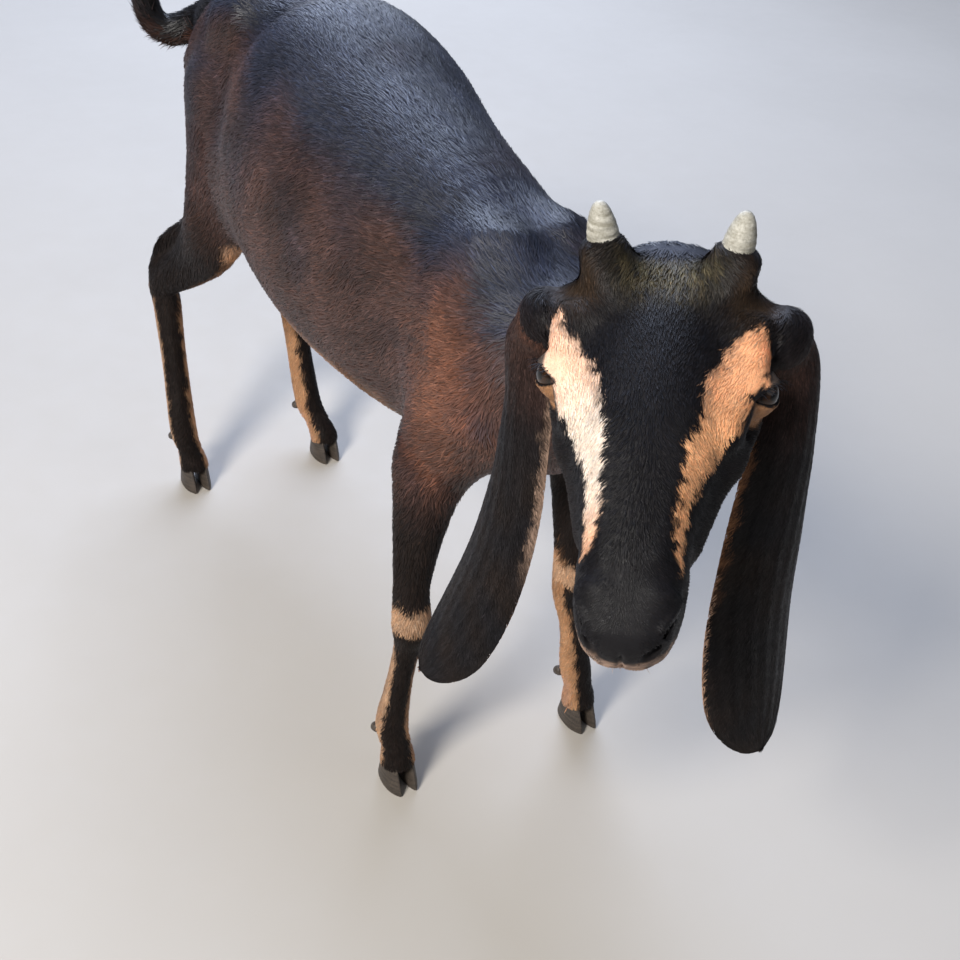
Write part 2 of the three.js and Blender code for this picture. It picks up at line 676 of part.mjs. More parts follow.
function earSolid(name) {
  const side = sides[name];
  const { path, outward, ahead, inBody } = earRidge(name);
  const curve = new THREE.CatmullRomCurve3(path.map((p) => new THREE.Vector3(...p)), false, 'centripetal');
  const shapeAt = curveThrough(earShape, 24);
  const rootUp = unit(minus(transformed(headToBody, [0, 0, 1]), transformed(headToBody, [0, 0, 0])));
  const { breadth } = earSwing[name];
  const faceTurn = degrees(earSwing[name].faceTurn);
  const hungOut = mix([0, 0, 0], outward, Math.cos(faceTurn)).map((v, k) => v + ahead[k] * Math.sin(faceTurn));
  const outer = [];
  const inner = [];
  for (let row = 0; row < earRows; row++) {
    const wayDown = 0.998 * (1 - (1 - row / (earRows - 1)) ** earRowSpread);
    const point = curve.getPointAt(wayDown).toArray();
    const tangent = row === 0
      ? unit(minus(inBody(1, 0, 0), inBody(0, 0, 0)))
      : curve.getTangentAt(wayDown).toArray();
    const [, halfWidth, curl, thickness] = shapeAt.find((entry) => entry[0] >= wayDown);
    const roundTip = Math.sqrt(Math.max(1 - Math.max((wayDown - 0.82) / 0.18, 0) ** 2.2, 0.03));
    const width = halfWidth * breadth * roundTip;
    const normal = unit(mix(rootUp, hungOut, smooth(wayDown / 0.3)));
    const out = unit(along(normal, tangent, -dot(normal, tangent)));
    const across = cross(tangent, out).map((v) => v * side);
    const radius = halfWidth / curl;
    for (let column = 0; column < earColumns; column++) {
      const spread = (column / (earColumns - 1)) * 2 - 1;
      const angle = spread * width / radius;
      const thick = Math.min(thickness, radius * 0.94) * (1 - 0.55 * spread ** 2) * (0.45 + 0.55 * roundTip);
      for (const [list, reach] of [[outer, radius], [inner, radius - thick]]) {
        const offOut = reach * Math.cos(angle) - radius;
        list.push(along(along(point, out, offOut), across, reach * Math.sin(angle)));
      }
    }
  }
  const points = [...outer, ...inner];
  const triangles = [];
  const at = (row, column) => row * earColumns + column;
  const under = outer.length;
  const patch = (a, b, c, d) => triangles.push([a, b, c], [a, c, d]);
  for (let row = 0; row + 1 < earRows; row++) {
    for (let column = 0; column + 1 < earColumns; column++) {
      const [a, b, c, d] = [at(row, column), at(row, column + 1), at(row + 1, column + 1), at(row + 1, column)];
      patch(a, b, c, d);
      triangles.push([a + under, c + under, b + under], [a + under, d + under, c + under]);
    }
    for (const column of [0, earColumns - 1]) {
      const [a, b] = [at(row, column), at(row + 1, column)];
      if (column === 0) patch(a, b, b + under, a + under);
      else patch(a, a + under, b + under, b);
    }
  }
  for (const row of [0, earRows - 1]) {
    for (let column = 0; column + 1 < earColumns; column++) {
      const [a, b] = [at(row, column), at(row, column + 1)];
      if (row === 0) patch(a, a + under, b + under, b);
      else patch(a, b, b + under, a + under);
    }
  }
  return solidFrom(points, triangles);
}

// The side of the head grown a little, which gives each ear its clearance beside the stub
function cheekSolid(side) {
  const nearX = side > 0 ? 26 : -64;
  const grown = (point) => headField(point) - cheekClearance;
  const block = surfaceOf(grown, [nearX, -80, -92], [nearX + 38, 4, 14], cells.head);
  const beside = halfSpace([side * (earRootSide + gap), 0, 0], [-side, 0, 0]);
  return block.intersect(beside).transform(headToBody);
}

// Hair of the tail
// A lock is a flat tapered blade that lies along the tail and bends away from it.
const lockLength = 31;
const lockWidth = 15;
const lockThickness = 5;
const lockSplay = 0.2;
const firstLock = 8;

function lockSolid(root, direction, outward, length, bend) {
  const flat = unit(cross(direction, outward));
  const rings = [0, 0.5].map((t) => {
    const centre = along(along(root, direction, t * length), outward, bend * t * t * length);
    return ovalRing(centre, flat, outward, (lockWidth / 2) * (0.85 + 0.3 * t), (lockThickness / 2) * (1 - 0.5 * t), 4);
  });
  const tip = along(along(root, direction, length), outward, bend * length);
  rings.push(ovalRing(tip, flat, outward, 0.8, 0.4, 4));
  return loft(rings);
}

// The locks grow in rows round the tail, every other row turned by half a step
function tailLocks() {
  const line = curveThrough(tailLine, 4);
  const locks = [];
  for (let i = firstLock; i < line.length; i += 3) {
    const ahead = line[Math.min(i + 1, line.length - 1)];
    const axis = unit(minus(ahead, line[i - 1]).slice(0, 3));
    const up = unit(along(tailUp, axis, -dot(axis, tailUp)));
    const side = cross(axis, up);
    const last = i + 3 >= line.length;
    const halfStep = i % 2 === 0 ? 0 : 45;
    for (const turn of [0, 90, 180, 270]) {
      const angle = degrees(turn + halfStep);
      const out = unit(along(side.map((v) => v * Math.sin(angle)), up, Math.cos(angle)));
      const root = along(line[i].slice(0, 3), out, line[i][4] * 0.6);
      const lie = unit(along(axis, out, last ? lockSplay * 0.4 : lockSplay));
      locks.push(lockSolid(root, lie, out, lockLength, 0.06 + 0.04 * Math.sin(i + turn)));
    }
  }
  return locks;
}

// Dewclaws
function dewclawSolid([x, y], side, grow = 0) {
  const rows = [[-4 * grow, 3.6], [3, 4.2], [7, 3.6], [9.5 + grow, 1.6]].map(([out, radius]) => [
    x + side * 7, y + 7 + out * 0.8, 47 - out * 0.6, radius + grow, radius + grow]);
  return taperedTube(rows, upward, 6);
}

// The parts
// Surfaces are taken a little past each cut and then parted there.
const inBodyParts = new Map();
const inHeadParts = new Map();
const bothSides = Object.entries(sides);

const torsoBlock = surfaceOf(bodyField, [-125, -110, 205], [125, 500, 505], cells.torso);
let torso = innerPart(innerPart(torsoBlock, neckCut), tailCut);
for (const [, side] of bothSides) {
  torso = torso.subtract(wedge(legCuts.foreleg(side), -gap / 2));
  torso = torso.subtract(wedge(legCuts.hindleg(side), -gap / 2));
}
inBodyParts.set('torso', largestOf(torso));

const headCutInBody = {
  at: transformed(headToBody, headCut.at),
  facing: minus(transformed(headToBody, headCut.facing), transformed(headToBody, [0, 0, 0])),
};
const neckBlock = surfaceOf(bodyField, [-140, -210, 290], [100, 30, 560], cells.neck);
inBodyParts.set('neck', largestOf(innerPart(outerPart(neckBlock, neckCut), headCutInBody)));

const tailBlock = surfaceOf(bodyField, [-100, 424, 360], [44, 560, 490], cells.tail);
const tailFlesh = largestOf(outerPart(tailBlock, tailCut));
inBodyParts.set('tail', largestOf(tailLocks().reduce((tail, lock) => tail.add(lock), tailFlesh)));

const headBlock = surfaceOf(headField, [-72, -204, -104], [72, 34, 34], cells.head);
let head = outerPart(headBlock, headCut);
for (const [, side] of bothSides) {
  const stubEnd = new THREE.BoxGeometry(40, 56, 60);
  stubEnd.translate(side * (earRootSide + 20), -30, -24);
  head = head.subtract(solidOf(stubEnd));
  head = head.add(lidSolid(side, 1, 37, 2.6)).add(lidSolid(side, -1, 33, 2.2));
  head = head.subtract(ball(eyeCentre(side), eyeRadius + gap));
  head = head.subtract(hornSolid(side, gap));
  head = head.subtract(nostrilSolid(side));
}
head = head.subtract(mouthSolid());
inHeadParts.set('head', largestOf(head));

for (const [name, side] of bothSides) {
  inHeadParts.set(`eye_${name}`, ball(eyeCentre(side), eyeRadius));
  inHeadParts.set(`horn_${name}`, hornSolid(side));
  inBodyParts.set(`ear_${name}`, largestOf(earSolid(name).subtract(cheekSolid(side))));
}

const legKinds = {
  foreleg: { end: 'front', stances: forelegStances, low: [10, -60, -4], high: [112, 80, 350] },
  hindleg: { end: 'rear', stances: hindlegStances, low: [-8, 300, -4], high: [104, 490, 430] },
};
for (const [kind, { end, stances, low, high }] of Object.entries(legKinds)) {
  for (const [name, side] of bothSides) {
    const [nearX, farX] = side > 0 ? [low[0], high[0]] : [-high[0], -low[0]];
    const block = surfaceOf(bodyField, [nearX, low[1], low[2]], [farX, high[1], high[2]], cells[kind]);
    let leg = block.intersect(wedge(legCuts[kind](side), gap / 2));
    const { fetlock, foot } = stances[name];
    for (const [place, inner] of [['inner', side], ['outer', -side]]) {
      inBodyParts.set(`claw_${end}_${name}_${place}`, clawSolid(foot, inner));
      inBodyParts.set(`dewclaw_${end}_${name}_${place}`, dewclawSolid(fetlock, -inner));
      leg = leg.subtract(clawSolid(foot, inner, gap * 2));
      leg = leg.subtract(dewclawSolid(fetlock, -inner, gap * 1.2));
    }
    inBodyParts.set(`${kind}_${name}`, largestOf(leg));
  }
}

// Materials
const finishes = {
  coat: { color: 0x1d1a1c, roughness: 0.55, metalness: 0 },
  horn: { color: 0x8d8a7c, roughness: 0.6, metalness: 0 },
  claw: { color: 0x2a2522, roughness: 0.5, metalness: 0 },
  eye: { color: 0x120c08, roughness: 0.1, metalness: 0 },
};
const finishOf = (name) => {
  if (name.includes('claw')) return finishes.claw;
  return finishes[name.split('_')[0]] ?? finishes.coat;
};

function meshOf(name, solid) {
  const { vertProperties, triVerts } = solid.asOriginal().simplify(leastEdge).getMesh();
  const geometry = new THREE.BufferGeometry();
  geometry.setAttribute('position', new THREE.Float32BufferAttribute(vertProperties, 3));
  geometry.setIndex(new THREE.Uint32BufferAttribute(triVerts, 1));
  geometry.computeVertexNormals();
  const mesh = new THREE.Mesh(geometry, new THREE.MeshStandardMaterial(finishOf(name)));
  mesh.name = name;
  return mesh;
}

const animal = new THREE.Group();
animal.position.copy(boxMiddle).negate();
for (const [name, solid] of inBodyParts) animal.add(meshOf(name, solid));
for (const [name, solid] of inHeadParts) headGroup.add(meshOf(name, solid));
animal.add(headGroup);

const goat = new THREE.Group();
goat.add(animal);

export default goat;
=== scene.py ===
"""A black and tan Nubian goat kid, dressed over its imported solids.

Shapes are worked out in millimetres in the drawing's own coordinates, where the goat faces -y
and its left side is +x, and are then moved into the part's frame in metres.
"""
import math
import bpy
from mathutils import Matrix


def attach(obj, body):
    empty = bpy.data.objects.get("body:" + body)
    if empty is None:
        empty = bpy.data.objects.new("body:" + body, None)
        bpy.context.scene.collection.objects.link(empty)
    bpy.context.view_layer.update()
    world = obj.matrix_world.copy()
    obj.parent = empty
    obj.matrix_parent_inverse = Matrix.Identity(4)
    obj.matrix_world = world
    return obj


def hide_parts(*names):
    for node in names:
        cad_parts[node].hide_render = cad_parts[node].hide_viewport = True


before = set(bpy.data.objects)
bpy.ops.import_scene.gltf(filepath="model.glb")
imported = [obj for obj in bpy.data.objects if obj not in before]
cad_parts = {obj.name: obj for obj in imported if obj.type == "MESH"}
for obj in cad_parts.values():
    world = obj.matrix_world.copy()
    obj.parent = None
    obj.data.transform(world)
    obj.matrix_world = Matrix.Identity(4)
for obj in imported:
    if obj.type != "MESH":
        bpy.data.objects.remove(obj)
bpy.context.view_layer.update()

from concurrent.futures import ThreadPoolExecutor

import bpy
import numpy as np
from mathutils import Matrix, Vector
from mathutils.bvhtree import BVHTree

rng = np.random.default_rng(8)
FAR = 1000.0
BOX_MIDDLE = np.array([-34.0, 119.0, 0.0])

# The same named sizes as the solids. A row of a form is x, y, z, half its width, its height
# above that point and its depth below.
POLL = np.array([-61.0, -165.0, 525.0])
HEAD_TURN, HEAD_DOWN, HEAD_LEAN = -40.4, 29.4, -7.2
EYE_RADIUS = 12.0
EYE_TIP = math.radians(44)
EYE_PLACE = np.array([42.5, -60.0, -23.0])
EYE_LOOK = (0.9, -0.24, 0.28)
HORN_LENGTH, HORN_RADIUS, HORN_SUNK = 15.0, 8.2, 4.0
HORN_PLACE = np.array([30.5, -5.0, 10.0])
HORN_RISE = (0.16, 0.42, 0.88)
CLAW_LENGTH, CLAW_WIDTH, CLAW_FRONT, CLAW_BACK, CLAW_CLEFT = 33.0, 12.5, 23.0, 15.0, 2.4
EAR_ROOT_SIDE = 55.2
EAR_THICKNESS = 3.6
END_CAP = 0.7

TORSO = [
    [0, -60, 344, 28, 30, 32], [0, -36, 350, 46, 50, 62], [0, 10, 356, 55, 70, 92],
    [0, 80, 358, 64, 93, 106], [2, 160, 352, 78, 114, 112], [9, 240, 350, 90, 132, 110],
    [10, 310, 360, 86, 131, 92], [4, 370, 382, 63, 104, 76], [0, 425, 392, 48, 70, 62],
    [0, 462, 396, 31, 44, 44],
]
NECK = [
    [0, 30, 370, 42, 36, 66], [-3, -30, 382, 40, 31, 58], [-13, -82, 406, 34, 31, 47],
    [-28, -120, 440, 31, 28, 44], [-42, -144, 474, 30, 20, 41],
]
TAIL = [
    [0, 440, 420, 16, 16, 16], [-2, 470, 422, 13, 12, 13], [-12, 494, 409, 12, 11, 12],
    [-30, 508, 398, 11, 10, 11], [-46, 514, 405, 10, 9, 10], [-54, 516, 424, 9, 8, 8],
    [-58, 514, 448, 6, 5, 6],
]
TAIL_UP = np.array([0, 0.5, 0.86])
FORELEGS = {
    1: {"knee": (56, -4), "fetlock": (74, -8), "foot": (79, -16)},
    -1: {"knee": (-76, 3), "fetlock": (-83, 6), "foot": (-80, -4)},
}
HINDLEGS = {
    1: {"hock": (50, 467), "fetlock": (52, 416), "foot": (61, 393)},
    -1: {"hock": (-71, 462), "fetlock": (-76, 417), "foot": (-71, 403)},
}
SKULL = [
    [0, 4, -34, 28, 21, 32], [0, -12, -32, 38, 29, 42], [0, -38, -33, 41, 38, 46],
    [0, -70, -34, 41, 42, 45], [0, -105, -34, 32, 41, 36], [0, -138, -33, 25, 33, 28],
    [0, -163, -33, 24, 25, 23], [0, -178, -34, 20, 20, 19],
]
# Forms blended into the head, each with its blend's width: the horns' bases, the ears' roots, the
# rims over and under the eyes, crests, cheeks, jaws, nostril wings, upper lips and chin
HEAD_FORMS = [
    (14, [[24, -22, -9, 15, 13, 13], [30, -8, 4, 12, 12, 12]]),
    (14, [[30, -24, -26, 16, 15, 15], [58, -30, -24, 13, 13, 13]]),
    (12, [[38, -38, -11, 11, 10, 11], [41, -57, -13, 9, 8, 9], [32, -84, -18, 9, 9, 9]]),
    (12, [[42, -49, -36, 10, 10, 10], [41, -69, -39, 8, 8, 8], [33, -89, -39, 8, 8, 8]]),
    (14, [[31, -88, -38, 8, 8, 8], [20, -130, -40, 6, 6, 6]]),
    (16, [[24, -22, -52, 16, 20, 22], [24, -52, -56, 14, 18, 18]]),
    (12, [[20, -20, -66, 11, 11, 12], [17, -72, -64, 9, 9, 10], [9, -130, -54, 8, 8, 8]]),
    (7, [[12.5, -164, -18, 8, 8, 8], [10, -178, -25, 8, 8, 8]]),
    (7, [[15, -150, -38, 8, 8, 8], [12, -172, -39, 8, 8, 7], [4, -182, -39, 7.5, 8, 7]]),
    (7, [[6, -146, -54, 7, 7, 7], [4, -170, -51, 9, 8, 8]]),
]
# Share of the way down an ear, half its breadth, its curl and its thickness
EAR_SHAPE = [
    [0, 33, 2.75, 10], [0.07, 31, 2.2, 7], [0.16, 29, 1.6, 5], [0.3, 31, 1.25, EAR_THICKNESS],
    [0.5, 36, 1.05, EAR_THICKNESS], [0.7, 38, 0.85, EAR_THICKNESS],
    [0.84, 36, 0.74, EAR_THICKNESS], [1, 30, 0.7, EAR_THICKNESS],
]
EAR_BROADEST = max(row[1] for row in EAR_SHAPE)
EAR_SWING = {
    1: {"breadth": 1, "bend": 66.5, "lean": 13, "flare": 18, "swing": 10, "drop": 240, "turn": 42},
    -1: {"breadth": 0.9, "bend": 71.5, "lean": -2, "flare": 33, "swing": -4, "drop": 229, "turn": 28},
}


# Small helpers
def unit(v):
    v = np.asarray(v, float)
    return v / np.maximum(np.linalg.norm(v, axis=-1, keepdims=True), 1e-9)


def smooth(low, high, x):
    t = np.clip((x - low) / (high - low), 0, 1)
    return t * t * (3 - 2 * t)


def mix(a, b, t):
    return a + (b - a) * t


def between(start, full, fading, end, x):
    """A soft window, 1 from full to fading and 0 outside start and end."""
    return smooth(start, full, x) * (1 - smooth(fading, end, x))


def turn_about(axis, angle):
    return np.array(Matrix.Rotation(math.radians(angle), 3, axis))


HEAD_AXES = turn_about("Z", HEAD_TURN) @ turn_about("X", HEAD_DOWN) @ turn_about("Y", HEAD_LEAN)


def to_head(p):
    return (p - POLL.astype(p.dtype)) @ HEAD_AXES.astype(p.dtype)


def from_head(q):
    return np.asarray(q) @ HEAD_AXES.T + POLL


def to_part(p):
    return (np.asarray(p) - BOX_MIDDLE) * 0.001


def halved(q):
    """Points of the head, all brought over to its left half."""
    return np.concatenate([np.abs(q[:, :1]), q[:, 1:]], 1)


def curve_through(rows, steps):
    rows = np.asarray(rows, float)
    fine = []
    for i in range(len(rows) - 1):
        here, there = rows[i], rows[i + 1]
        slope_in = (there - rows[max(i - 1, 0)]) / 2
        slope_out = (rows[min(i + 2, len(rows) - 1)] - here) / 2
        bend = 3 * (there - here) - 2 * slope_in - slope_out
        twist = 2 * (here - there) + slope_in + slope_out
        for step in range(steps):
            t = step / steps
            fine.append(here + t * (slope_in + t * (bend + t * twist)))
    fine.append(rows[-1])
    return np.array(fine)


# Signed distances, negative inside
class Sweep:
    """A tapered form of oval sections along a line, as in the solids."""

    def __init__(self, rows, up=(0, 0, 1), fullness=2.0, steps=3):
        fine = curve_through(rows, steps)
        self.start, self.end, self.fullness = fine[:-1], fine[1:], fullness
        run = self.end[:, :3] - self.start[:, :3]
        self.length = np.linalg.norm(run, axis=1)
        self.axis = run / self.length[:, None]
        up = np.asarray(up, float)
        self.up = unit(up - self.axis * (self.axis @ up)[:, None])
        self.side = np.cross(self.axis, self.up)
        self.middle = (self.start[:, :3] + self.end[:, :3]) / 2
        size = np.maximum(self.start[:, 3:], self.end[:, 3:]).max(1)
        self.reach = self.length / 2 + size
        self.low = (self.middle - self.reach[:, None]).min(0)
        self.high = (self.middle + self.reach[:, None]).max(0)

    def __call__(self, p, margin):
        out = np.full(len(p), FAR, p.dtype)
        near = np.flatnonzero(((p > self.low - margin) & (p < self.high + margin)).all(1))
        if not near.size:
            return out
        q = p[near]
        best = np.full(len(q), FAR, p.dtype)
        for k in range(len(self.length)):
            away = q - self.middle[k].astype(p.dtype)
            close = np.flatnonzero((away * away).sum(1) < (self.reach[k] + margin) ** 2)
            if not close.size:
                continue
            offset = q[close] - self.start[k, :3].astype(p.dtype)
            start, end = self.start[k, 3:], self.end[k, 3:]
            reach = offset @ self.axis[k].astype(p.dtype) / p.dtype.type(self.length[k])
            t = np.clip(reach, 0, 1)
            beyond = (reach - t) * p.dtype.type(self.length[k])
            across = offset @ self.side[k].astype(p.dtype)
            height = offset @ self.up[k].astype(p.dtype)
            wide = start[0] + (end[0] - start[0]) * t
            tall = np.where(height > 0, start[1] + (end[1] - start[1]) * t,
                            start[2] + (end[2] - start[2]) * t)
            if self.fullness == 2:
                square = (across / wide) ** 2 + (height / tall) ** 2
            else:
                full = self.fullness
                square = np.abs(across / wide) ** full + np.abs(height / tall) ** full
                square = square ** (2 / full)
            least = np.minimum(wide, tall)
            size = np.sqrt(square + (beyond / (END_CAP * least)) ** 2)
            far = np.sqrt(across ** 2 + height ** 2 + beyond ** 2)
            distance = np.where(size > 1e-6, far * (1 - 1 / np.maximum(size, 1e-6)), -least)
            best[close] = np.minimum(best[close], distance)
        out[near] = best
        return out


def blended(a, b, width):
    overlap = np.maximum(width - np.abs(a - b), 0) / width
    return np.minimum(a, b) - overlap * overlap * width / 4


def carved(a, b, width):
    """a with b taken out of it, the edge rounded."""
    return -blended(-a, b, width)


def mirrored(rows, side):
    return [[row[0] * side, *row[1:]] for row in rows]


def leg_line(side, rear):
    """The oval sections of a leg, from the body down to the crowns of its claws."""
    places = (HINDLEGS if rear else FORELEGS)[side]
    joint, fetlock, foot = places.values()
    if rear:
        upper = [
            [side * 30, 404, 386, 24, 46, 48], [side * 42, 384, 330, 25, 54, 54],
            [side * 53, 386, 278, 22, 42, 42], [side * 60, 414, 232, 15, 24, 26],
            [joint[0], joint[1] - 4, 192, 13.5, 17, 18], [joint[0], joint[1] - 7, 168, 12.5, 15, 16],
            [(joint[0] + fetlock[0]) / 2, (joint[1] + fetlock[1]) / 2 - 2, 116, 11.5, 13, 15],
            [*fetlock, 57, 12.5, 13, 14],
        ]
    else:
        upper = [
            [side * 42, 2, 345, 20, 44, 40], [side * 57, 20, 285, 24, 36, 32],
            [side * 64, 20, 240, 19, 25, 23], [joint[0] - side, joint[1] + 5, 188, 13, 15, 14],
            [joint[0], joint[1], 156, 14.5, 16, 13], [joint[0], joint[1] + 2, 134, 10.5, 11, 11],
            [(joint[0] + fetlock[0]) / 2, (joint[1] + fetlock[1]) / 2 + 1, 100, 9.5, 10, 11],
            [*fetlock, 56, 12.5, 12, 14],
        ]
    return np.array(upper + [
        [(fetlock[0] + foot[0]) / 2, (fetlock[1] + foot[1]) / 2, 39 if rear else 38, 11.5, 11, 12],
        [foot[0], foot[1] + 4, 22, 13.5, 14, 14], [foot[0], foot[1] + 2, 15, 13, 13, 14],
    ], float)


def centre_at(line, heights):
    """Where the middle of a leg is at each height."""
    line = line[np.argsort(line[:, 2])]
    return np.interp(heights, line[:, 2], line[:, 0]), np.interp(heights, line[:, 2], line[:, 1])


LEGS = {(side, rear): leg_line(side, rear) for side in (1, -1) for rear in (False, True)}
FORWARD = (0, -1, 0)
trunk = Sweep(TORSO, fullness=2.45, steps=6)
neck = Sweep(NECK, steps=5)
tail = Sweep(TAIL, up=TAIL_UP)
skull = Sweep(SKULL, fullness=2.2, steps=7)
head_forms = [(blend, Sweep(line)) for blend, line in HEAD_FORMS]
# What is blended into the trunk, each with its blend's width
limbs = []
for side in (1, -1):
    blade = [[26, 26, 420, 13, 28, 30], [45, -8, 380, 16, 38, 36], [50, -32, 338, 18, 30, 34]]
    hock = HINDLEGS[side]["hock"]
    tendon = [[side * 54, 424, 262, 9, 9, 9], [hock[0] * 0.97, hock[1] + 3, 226, 6, 7, 7],
              [hock[0], hock[1] + 9, 200, 8, 8, 8]]
    limbs += [(30, Sweep(mirrored(blade, side), FORWARD)), (30, Sweep(LEGS[side, False], FORWARD, 2, 4)),
              (34, Sweep(LEGS[side, True], FORWARD, 2, 4)), (12, Sweep(tendon, FORWARD))]
for side in (1, -1):
    hip = [[36, 348, 462, 12, 12, 12], [32, 390, 446, 12, 12, 12]]
    seat = [[26, 446, 402, 12, 12, 12], [30, 462, 386, 11, 11, 11]]
    limbs += [(26, Sweep(mirrored(hip, side))), (22, Sweep(mirrored(seat, side)))]

# The eye and its lids, in the frame of the head's left half, which the right one mirrors
look = unit(EYE_LOOK)
level = unit(np.array([0, -1, 0]) + look * look[1])
ahead = level * math.cos(EYE_TIP) - np.cross(look, level) * math.sin(EYE_TIP)
above = -np.cross(look, ahead)


def lid_fold(sweeps, lift, bow, radius):
    """A line over the eyeball, at angles round to its front corner, bowed in the middle (degrees)."""
    line = []
    for sweep in map(math.radians, sweeps):
        rise = math.radians(lift + bow * math.cos(sweep))
        line.append(EYE_PLACE + radius * unit(
            look * (math.cos(rise) * math.cos(sweep)) + ahead * math.sin(sweep) * math.cos(rise)
            + above * math.sin(rise)))
    return line


# How far the opening reaches up, down and round to its corners, and where its curve would end
LID_RISE, LID_DROP, LID_CORNER, LID_SPAN = (math.radians(angle) for angle in (20, 19, 58, 60))


def eye_sphere(h):
    """How far from the eye's middle, and how far inside the edge of the lids' opening (mm)."""
    away = h - EYE_PLACE.astype(h.dtype)
    far = np.sqrt((away ** 2).sum(1))
    turned = away / np.maximum(far, 0.1)[:, None] @ np.stack([look, ahead, above], 1).astype(h.dtype)
    lift = np.arcsin(np.clip(turned[:, 2], -1, 1))
    sweep = np.arctan2(turned[:, 1], turned[:, 0])
    gap = np.maximum(np.cos(np.clip(sweep / LID_SPAN, -1, 1) * math.pi / 2), 0) ** 0.8
    edge = np.minimum(LID_RISE * gap - lift, LID_DROP * gap + lift)
    return far, (edge - np.maximum(np.abs(sweep) - LID_CORNER, 0)) * EYE_RADIUS


# The lids' thickness, how much thicker they are along their edges, and how far in front of the
# ball's middle and behind its surface their opening is cut
LID_THICK, LID_ROLL, LID_FRONT, LID_BACK = 1.1, 0.7, 22, 1.6


def lidded(h, value):
    """The head with lids over the ball, up to the opening that is cut in front of it."""
    far, inside = eye_sphere(h)
    thick = LID_THICK + LID_ROLL * np.exp(-((inside + 0.9) / 1.3) ** 2)
    lids = -blended(thick + EYE_RADIUS - far, -inside, 0.7)
    value = blended(value, lids, 3.0)
    opening = np.maximum(np.maximum(-inside, far - LID_FRONT), EYE_RADIUS - LID_BACK - far)
    return -blended(-value, opening, 0.8)


NOSTRIL = [[9.5, -197, -32, 2.2, 1.8, 1.8], [12, -188, -27.5, 3.0, 2.3, 2.3],
           [15.5, -179, -22.5, 2.6, 2.4, 2.4], [18, -173, -22, 1.8, 1.7, 1.7],
           [19.5, -168, -24, 0.7, 0.8, 0.8]]
nostril = Sweep(NOSTRIL, up=(0.6, -0.5, 0.6), steps=3)


def to_polyline(p, points):
    """How far each point is from a line of straight runs."""
    best = np.full(len(p), FAR, p.dtype)
    points = np.asarray(points, p.dtype)
    for a, b in zip(points[:-1], points[1:]):
        run = b - a
        t = np.clip((p - a) @ run / (run @ run), 0, 1)
        best = np.minimum(best, np.sqrt((((p - a) - t[:, None] * run) ** 2).sum(1)))
    return best


def ridges(*groups):
    """The sum of soft folds along lines, each group with the points that it is measured from."""
    total = np.zeros(len(groups[0][0]), groups[0][0].dtype)
    for p, folds in groups:
        for line, width, height in folds:
            line = np.asarray(line, float)
            reach = width * 2.6
            near = np.flatnonzero(((p > line.min(0) - reach) & (p < line.max(0) + reach)).all(1))
            total[near] += height * np.exp(-(to_polyline(p[near], line) / width) ** 2)
    return total


# Folds and ridges of the head: a line in its left half, a width and a height
HEAD_FOLDS = [
    # the fold over the upper lid and the two under the lower one
    (lid_fold((-75, -45, -15, 15, 45, 75), 36, 12, 14), 1.1, -0.8),
    (lid_fold((-60, -30, 0, 30, 60), -38, -8, 14), 0.9, -0.7),
    (lid_fold((-50, -20, 10, 45), -56, -10, 15.5), 1.1, -0.7),
    # the groove from the front corner of the eye, and the creases behind the back one
    ([[43.5, -77, -30], [37, -86, -33], [30, -97, -35]], 2.2, -1.3),
    ([[53, -50, -24], [54.5, -45, -23]], 1.2, -0.7),
    ([[52, -50, -29], [53.5, -44, -31]], 1.2, -0.7),
    # the edge of the nose bone, the facial crest and the veins across the cheek
    ([[17, -84, 2], [15, -120, -2], [11, -150, -8]], 4.5, 0.9),
    ([[37, -76, -42], [30, -100, -44], [24, -124, -45]], 2.6, 0.9),
    ([[30, -96, -38], [28, -108, -48], [22, -112, -62]], 1.3, 0.55),
    ([[24, -118, -22], [27, -112, -34], [28, -108, -46]], 1.1, 0.45),
    # the temple's hollow
    ([[40, -27, -3], [45, -24, -12]], 5, -1.0),
    # the wing of the nostril, its fold behind, and the corner of the mouth
    ([[16, -180, -16], [20.5, -172, -17], [22, -165, -21]], 2.0, 1.4),
    ([[20, -160, -15], [24, -159, -22], [24, -160, -29]], 2.2, -1.4),
    ([[24, -150, -44], [26, -143, -50]], 2.0, -0.9),
    ([[24, -138, -44], [25, -134, -52]], 1.8, -0.5),
]
# Folds and ridges of the body, mirrored too
BODY_FOLDS = [
    ([[38, 20, 432], [48, -6, 396], [56, -22, 356]], 6, 1.6),
    ([[62, -26, 330], [66, 4, 300]], 9, 2.0),
    ([[70, 40, 268], [64, 46, 250]], 8, 2.4),
    ([[60, 52, 300], [66, 34, 350], [58, 36, 396]], 7, -1.4),
    ([[72, 330, 262], [84, 308, 292], [90, 290, 330]], 7, 2.6),
    ([[46, 346, 420], [70, 340, 380]], 12, -2.0),
    ([[40, 448, 372], [44, 440, 330], [50, 430, 290]], 7, -1.6),
]
NECK_FOLDS = [
    ([[-52, -96, 456], [-60, -100, 426], [-46, -104, 392]], 3.0, -1.5),
    ([[-44, -78, 446], [-52, -82, 416], [-42, -88, 380]], 3.4, -1.3),
    ([[-38, -58, 438], [-48, -60, 404], [-40, -66, 366]], 3.8, -1.0),
    ([[-48, -88, 452], [-57, -91, 422], [-45, -96, 386]], 3.0, 0.9),
]


